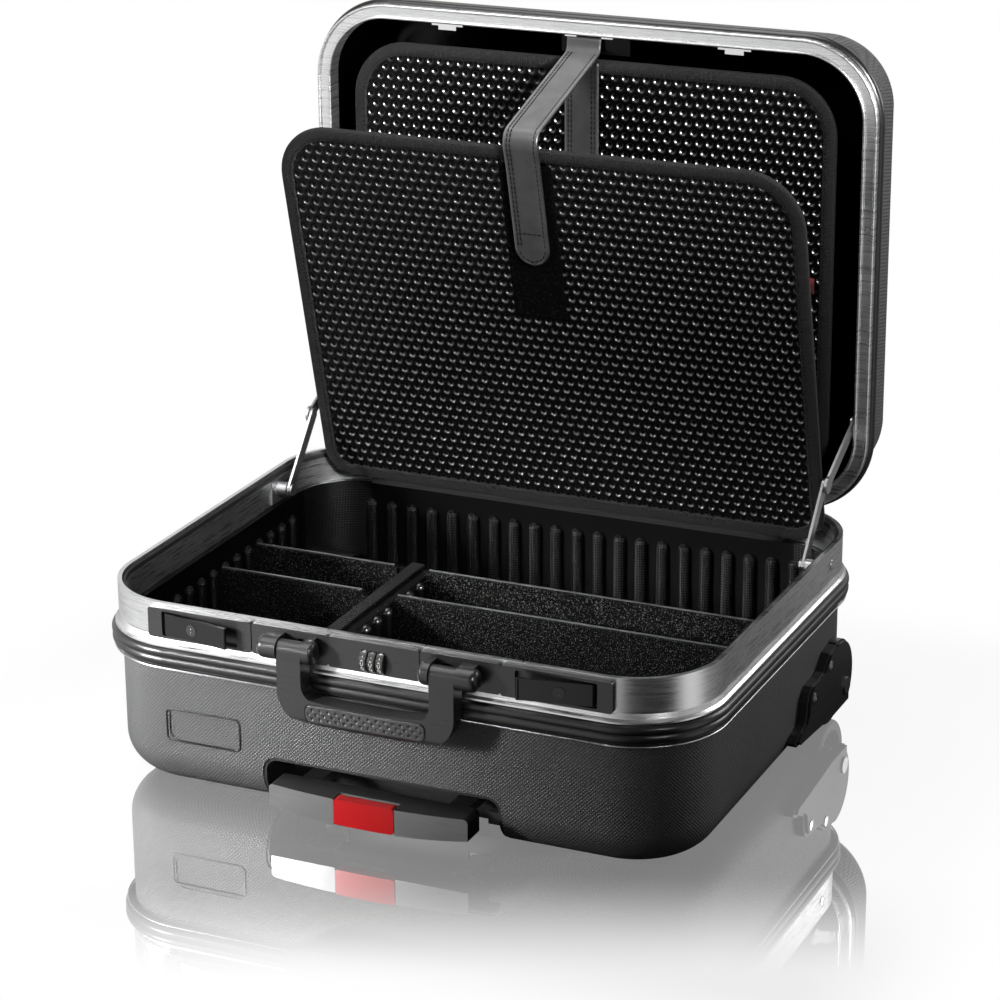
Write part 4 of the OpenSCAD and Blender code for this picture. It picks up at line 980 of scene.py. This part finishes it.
def divider_ribs():
    """The upright ribs of the corrugated divider, round on top."""
    bm = bmesh.new()
    profile = [(5.3, 48.4), (5.3, 98.0)] + [
        (5.3 * math.cos(math.radians(a)), 98.0 + 5.3 * math.sin(math.radians(a))) for a in (18, 36, 54, 72)
    ]
    line = [bm.verts.new((r, 0, z)) for r, z in profile] + [bm.verts.new((0, 0, 103.3))]
    edges = [bm.edges.new((a, b)) for a, b in zip(line, line[1:])]
    bmesh.ops.spin(bm, geom=line + edges, cent=(0, 0, 0), axis=(0, 0, 1), angle=math.tau, steps=20, use_merge=True)
    bmesh.ops.remove_doubles(bm, verts=bm.verts, dist=0.001)
    rim = [e for e in bm.edges if e.is_boundary]
    bmesh.ops.contextual_create(bm, geom=rim)
    bmesh.ops.recalc_face_normals(bm, faces=bm.faces)
    unit = bpy.data.meshes.new("rib")
    bm.to_mesh(unit)
    bm.free()
    centres = []
    for k in range(-9, 10):
        y = k * SIDE_PITCH
        if RIDGE_FRONT + 5.4 < y < RIDGE_BACK - 5.4 and min(abs(y - 2.5 * SIDE_PITCH), abs(y + 0.5 * SIDE_PITCH)) > 9:
            centres += [Vector((RIDGE_X + side * (RIDGE_WIDE / 2 - 0.5), y, 0)) for side in (-1, 1)]
    return stamped(unit, centres)


piece(
    "corrugated_divider", corrugated_divider(), "base", ridge,
    slot="tray", smooth=False, stands_for=("centre_divider",),
)
piece("divider_ribs", divider_ribs(), "base", ridge, slot="tray")


# ---------------------------------------------------------------- bright bead under the edging, a painted highlight


def case_line(height):
    """Closed loop round the case's outline at a height."""
    line = round_line(CASE_X, 2 * CASE_Y, CORNER, CORNER, 0.0, height, 16)
    return [p + Vector((0, -CASE_Y, 0)) for p in line]


def edging_bead():
    """Thin bright steel bead under the rolled edging, all round: a painted highlight line where the edging's lower
    lip catches the light.
    """
    flat_x, flat_y = CASE_X - CORNER, CASE_Y - CORNER
    grown = []
    for p in case_line(HIGHLIGHT_BEAD_Z):
        core = Vector((max(-flat_x, min(flat_x, p.x)), max(-flat_y, min(flat_y, p.y)), p.z))
        grown.append(p + (p - core).normalized() * 3.6)
    return bars([grown + grown[:1]], 0.75, 2)


# Painted highlight: a bright metal bead stands in for the edging's highlight line.
piece("edging_bead", edging_bead(), "base", finishes["steel"], slot="aluminium")


# ---------------------------------------------------------------- label field


def label_edge():
    """Moulded edge round the bare label field: a thin raised line with round corners."""
    line = []
    for cx, cz, start in ((-123.5, 45.8, -90), (-123.5, 63.8, 0), (-179.5, 63.8, 90), (-179.5, 45.8, 180)):
        for k in range(7):
            a = math.radians(start + 15 * k)
            line.append(Vector((cx + 4 * math.cos(a), -CASE_Y + 2.6, cz + 4 * math.sin(a))))
    return bars([line + line[:1]], 0.85, 2)


piece("label_edge", label_edge(), "base", finishes["edging"], slot="shell")


# ---------------------------------------------------------------- domed ends of the handle brackets


def bracket_domes():
    """Domed caps on the free ends of the handle's bracket ears."""
    bm = bmesh.new()
    for start, high, side in ((86.0, 5.5, 1), (46.5, 3.6, -1), (-86.0, 5.5, -1), (-46.5, 3.6, 1)):
        arc = [math.radians(90 * k / 8) for k in range(8)]
        dome = [(high * math.sin(a), 8.9 * math.cos(a) ** 0.8) for a in arc]
        outline = [(-0.2, 8.9)] + dome + [(high, 0), (-0.2, 0)]
        line = [bm.verts.new((start + side * out, PIVOT_Y, PIVOT_Z + r)) for out, r in outline]
        edges = [bm.edges.new((a, b)) for a, b in zip(line, line[1:])]
        middle = (start, PIVOT_Y, PIVOT_Z)
        bmesh.ops.spin(bm, geom=line + edges, cent=middle, axis=(1, 0, 0), angle=math.tau, steps=28, use_merge=True)
    bmesh.ops.remove_doubles(bm, verts=bm.verts, dist=0.001)
    bmesh.ops.recalc_face_normals(bm, faces=bm.faces)
    return bm


piece("bracket_domes", bracket_domes(), "base", finishes["black_plastic"], slot="black_plastic")


# ---------------------------------------------------------------- key rosettes


def key_rings(side):
    """Ring and rosette of small round holes on a latch lever's key cylinder."""
    centre = Vector((-25.0, -1.95, 0))

    def round_at(radius, share):
        return centre + Vector((radius * math.cos(math.tau * share), 0, radius * math.sin(math.tau * share)))

    rows = [[round_at(radius, k / count) for k in range(count + 1)] for radius, count in ((4.1, 28), (1.5, 10))]
    for k in range(6):
        spot = round_at(2.7, (k + 0.5) / 6)
        rows.append([spot + Vector((-0.3, 0, 0)), spot + Vector((0.3, 0, 0))])
    bm = bars(rows, 0.27, 1)
    lever = Matrix.Translation((176.0, -200.7 - 1.8, 141.6)) @ Matrix.Rotation(math.radians(10), 4, "Z")
    bmesh.ops.transform(bm, matrix=lever, verts=bm.verts)
    if side < 0:
        bmesh.ops.scale(bm, vec=(-1, 1, 1), verts=bm.verts)
        bmesh.ops.reverse_faces(bm, faces=bm.faces)
    return bm


for side, where in ((1, "right"), (-1, "left")):
    piece(f"key_ring_{where}", key_rings(side), f"key_{where}", finishes["bright"], slot="steel")


# ---------------------------------------------------------------- digits on the dials


def dial_digits(index, middle):
    """Plain digits 0 to 9 laid on a dial's rim."""
    bm = bmesh.new()
    for number in range(10):
        curve = bpy.data.curves.new("digit", "FONT")
        curve.body = str(number)
        curve.size = 7.6
        curve.align_x, curve.align_y = "CENTER", "CENTER"
        curve.resolution_u = 2
        text = bpy.data.objects.new("digit", curve)
        bpy.context.scene.collection.objects.link(text)
        bpy.context.view_layer.update()
        mesh = text.to_mesh()
        part = bmesh.new()
        part.from_mesh(mesh)
        text.to_mesh_clear()
        bpy.data.objects.remove(text)
        bmesh.ops.remove_doubles(part, verts=part.verts, dist=0.001)
        bmesh.ops.solidify(part, geom=list(part.faces), thickness=0.12)
        for v in part.verts:
            angle = math.radians(36 * number) + v.co.y / DIAL_R
            reach = DIAL_R + 0.02 + v.co.z
            across = middle + v.co.x * 0.82
            v.co = Vector((across, DIAL_Y - reach * math.cos(angle), DIAL_Z + reach * math.sin(angle)))
        bmesh.ops.recalc_face_normals(part, faces=part.faces)
        copy = bpy.data.meshes.new("digit")
        part.to_mesh(copy)
        part.free()
        bm.from_mesh(copy)
        bpy.data.meshes.remove(copy)
    piece(f"dial_{index}_digits", bm, f"dial_{index}", digit, slot="dial", smooth=False)


for index, middle in enumerate((-7.2, -0.2, 6.8), 1):
    dial_digits(index, middle)


# ---------------------------------------------------------------- camera, light, floor

camera = bpy.data.objects.new("camera", bpy.data.cameras.new("camera"))
camera.data.sensor_width = 36.0
camera.data.lens = 118.71
side = Vector((0.91293654, 0.40805109, -0.00641802))
up = Vector((-0.13290575, 0.31214694, 0.94069142))
ahead = Vector((-0.38585352, 0.85793857, -0.33920269))
camera.matrix_world = Matrix(
    (
        (side.x, up.x, -ahead.x, 1.01565),
        (side.y, up.y, -ahead.y, -2.23069),
        (side.z, up.z, -ahead.z, 1.08319),
        (0, 0, 0, 1),
    )
)
camera.data.clip_end = 50
bpy.context.scene.collection.objects.link(camera)
bpy.context.scene.camera = camera


def lamp(name, place, aim, size, power, spread=math.pi):
    light = bpy.data.lights.new(name, "AREA")
    light.shape = "RECTANGLE"
    light.size, light.size_y = size
    light.energy = power
    light.spread = spread
    made = bpy.data.objects.new(name, light)
    turn = (Vector(aim) - Vector(place)).to_track_quat("-Z", "Y")
    made.matrix_world = Matrix.Translation(place) @ turn.to_matrix().to_4x4()
    bpy.context.scene.collection.objects.link(made)
    return made


lamp("softbox_above", (-0.3, 0.25, 1.9), (0, 0.1, 0.35), (1.3, 0.9), 16)
lamp("softbox_boards", (-0.5, -0.42, 0.98), (-0.05, 0.15, 0.4), (0.5, 0.4), 2.5)
lamp("softbox_front_left", (-0.82, -0.78, 0.34), (-0.25, -0.2, 0.07), (0.4, 0.4), 1.3, math.radians(21))
lamp("softbox_back_right", (1.5, 1.3, 0.9), (0.2, 0.1, 0.15), (0.9, 0.9), 15)
catch = lamp("softbox_gloss", (1.65, -1.25, 1.45), (-0.28, 0.2, 0.6), (0.6, 0.7), 11, math.radians(22))
catch.visible_diffuse = False

world = bpy.data.worlds.new("studio")
world.use_nodes = True
bpy.context.scene.world = world
sky = Wire(world.node_tree)
seen = sky.node("LightPath", out=0)
gloss = sky.node("LightPath", out=3)
clear = sky.node("LightPath", out=6)
sharp = sky.node("LightPath", out=4)
way = sky.node("TexCoord", out=0)
turn = sky.math(
    "ARCTAN2", sky.node("SeparateXYZ", sockets={0: way}, out=1), sky.node("SeparateXYZ", sockets={0: way}, out=0)
) / math.tau + 0.5
high = sky.node("SeparateXYZ", sockets={0: way}, out=2)
# Brightness by the share of a turn, as reflections see the room and the floor.
AROUND = (
    (0.0, 0.6), (0.15, 0.85), (0.24, 0.5), (0.29, 0.05), (0.44, 0.04), (0.5, 0.5), (0.6, 0.3), (0.7, 0.5),
    (0.78, 0.95), (0.9, 0.9), (1.0, 0.6),
)
PANELS = (
    (0.0, 0.7), (0.15, 0.95), (0.23, 0.6), (0.285, 0.03), (0.43, 0.02), (0.475, 0.9), (0.515, 0.8), (0.56, 0.2),
    (0.75, 0.16), (0.92, 0.3), (1.0, 0.7),
)
panels = sky.node("ValToRGB", {"stops": AROUND}, {0: turn})
mirrored = high.rise(0.3, 0.7).mix(panels, 0.09)
shown = (seen + clear + sharp).least(1.0)
backdrop = world.node_tree.nodes["Background"]
world.node_tree.links.new(shown.mix(gloss.mix(0.05, mirrored), 1.0).socket, backdrop.inputs["Color"])
backdrop.inputs["Strength"].default_value = 1.0


def floor():
    """Pale mirror-like floor whose reflection fades out toward the viewer."""
    bm = bmesh.new()
    bmesh.ops.create_grid(bm, x_segments=1, y_segments=1, size=14)
    mesh = bpy.data.meshes.new("floor")
    bmesh.ops.translate(bm, vec=(0, 0, -0.0072), verts=bm.verts)
    bm.to_mesh(mesh)
    bm.free()
    made = bpy.data.objects.new("floor", mesh)
    bpy.context.scene.collection.objects.link(made)
    material = bpy.data.materials.new("floor_pale")
    material.use_nodes = True
    tree = material.node_tree
    tree.nodes.remove(tree.nodes["Principled BSDF"])
    w = Wire(tree)
    spot = w.node("TexCoord", out=3)
    x, y = (w.node("SeparateXYZ", sockets={0: spot}, out=k) for k in range(2))
    fade = (x * 0.41 - y * 0.91).rise(0.24, 0.41) * -1 + 1
    speckle = w.node("TexNoise", sockets={"Vector": spot, "Scale": 3.0})
    paper = w.node("BsdfDiffuse", sockets={0: speckle.mix(0.80, 0.84)})
    # To bounced diffuse light the floor is dark: painted shade that keeps the case's lower faces black.
    shade = w.node("BsdfDiffuse", sockets={0: speckle.mix(0.10, 0.14)})
    white = w.node("Emission", sockets={0: (1, 1, 1, 1), 1: 1.0})
    # To reflections the floor glows in bright and dark panels round a point: painted reflections of a studio.
    turn = w.math("ARCTAN2", y + 0.13, x - 0.18) / math.tau + 0.5
    panels = w.node("ValToRGB", {"stops": PANELS}, {0: turn})
    clear_of = (abs(x) - 0.25).most(abs(y) - 0.2).rise(0.0, 0.28)
    # Near the case the glow fades to black: a painted contact shadow, seen in the case's reflections.
    glow = w.node("Emission", sockets={0: clear_of.mix(0.0, panels), 1: 1.0})
    mirror = w.node("BsdfGlossy", sockets={0: (1, 1, 1, 1), "Roughness": 0.0})
    seen, gloss = (w.node("LightPath", out=k) for k in (0, 3))
    shaded = w.node("MixShader", sockets={0: (1.0 - clear_of.rise(0.3, 0.95)) * 0.3, 1: white, 2: paper})
    polished = w.node("MixShader", sockets={0: fade * 0.72, 1: shaded, 2: mirror})
    unseen = w.node("MixShader", sockets={0: gloss, 1: shade, 2: glow})
    final = w.node("MixShader", sockets={0: seen, 1: unseen, 2: polished})
    tree.links.new(final.socket, tree.nodes["Material Output"].inputs[0])
    mesh.materials.append(material)


floor()
bpy.context.scene.view_settings.view_transform = "Standard"
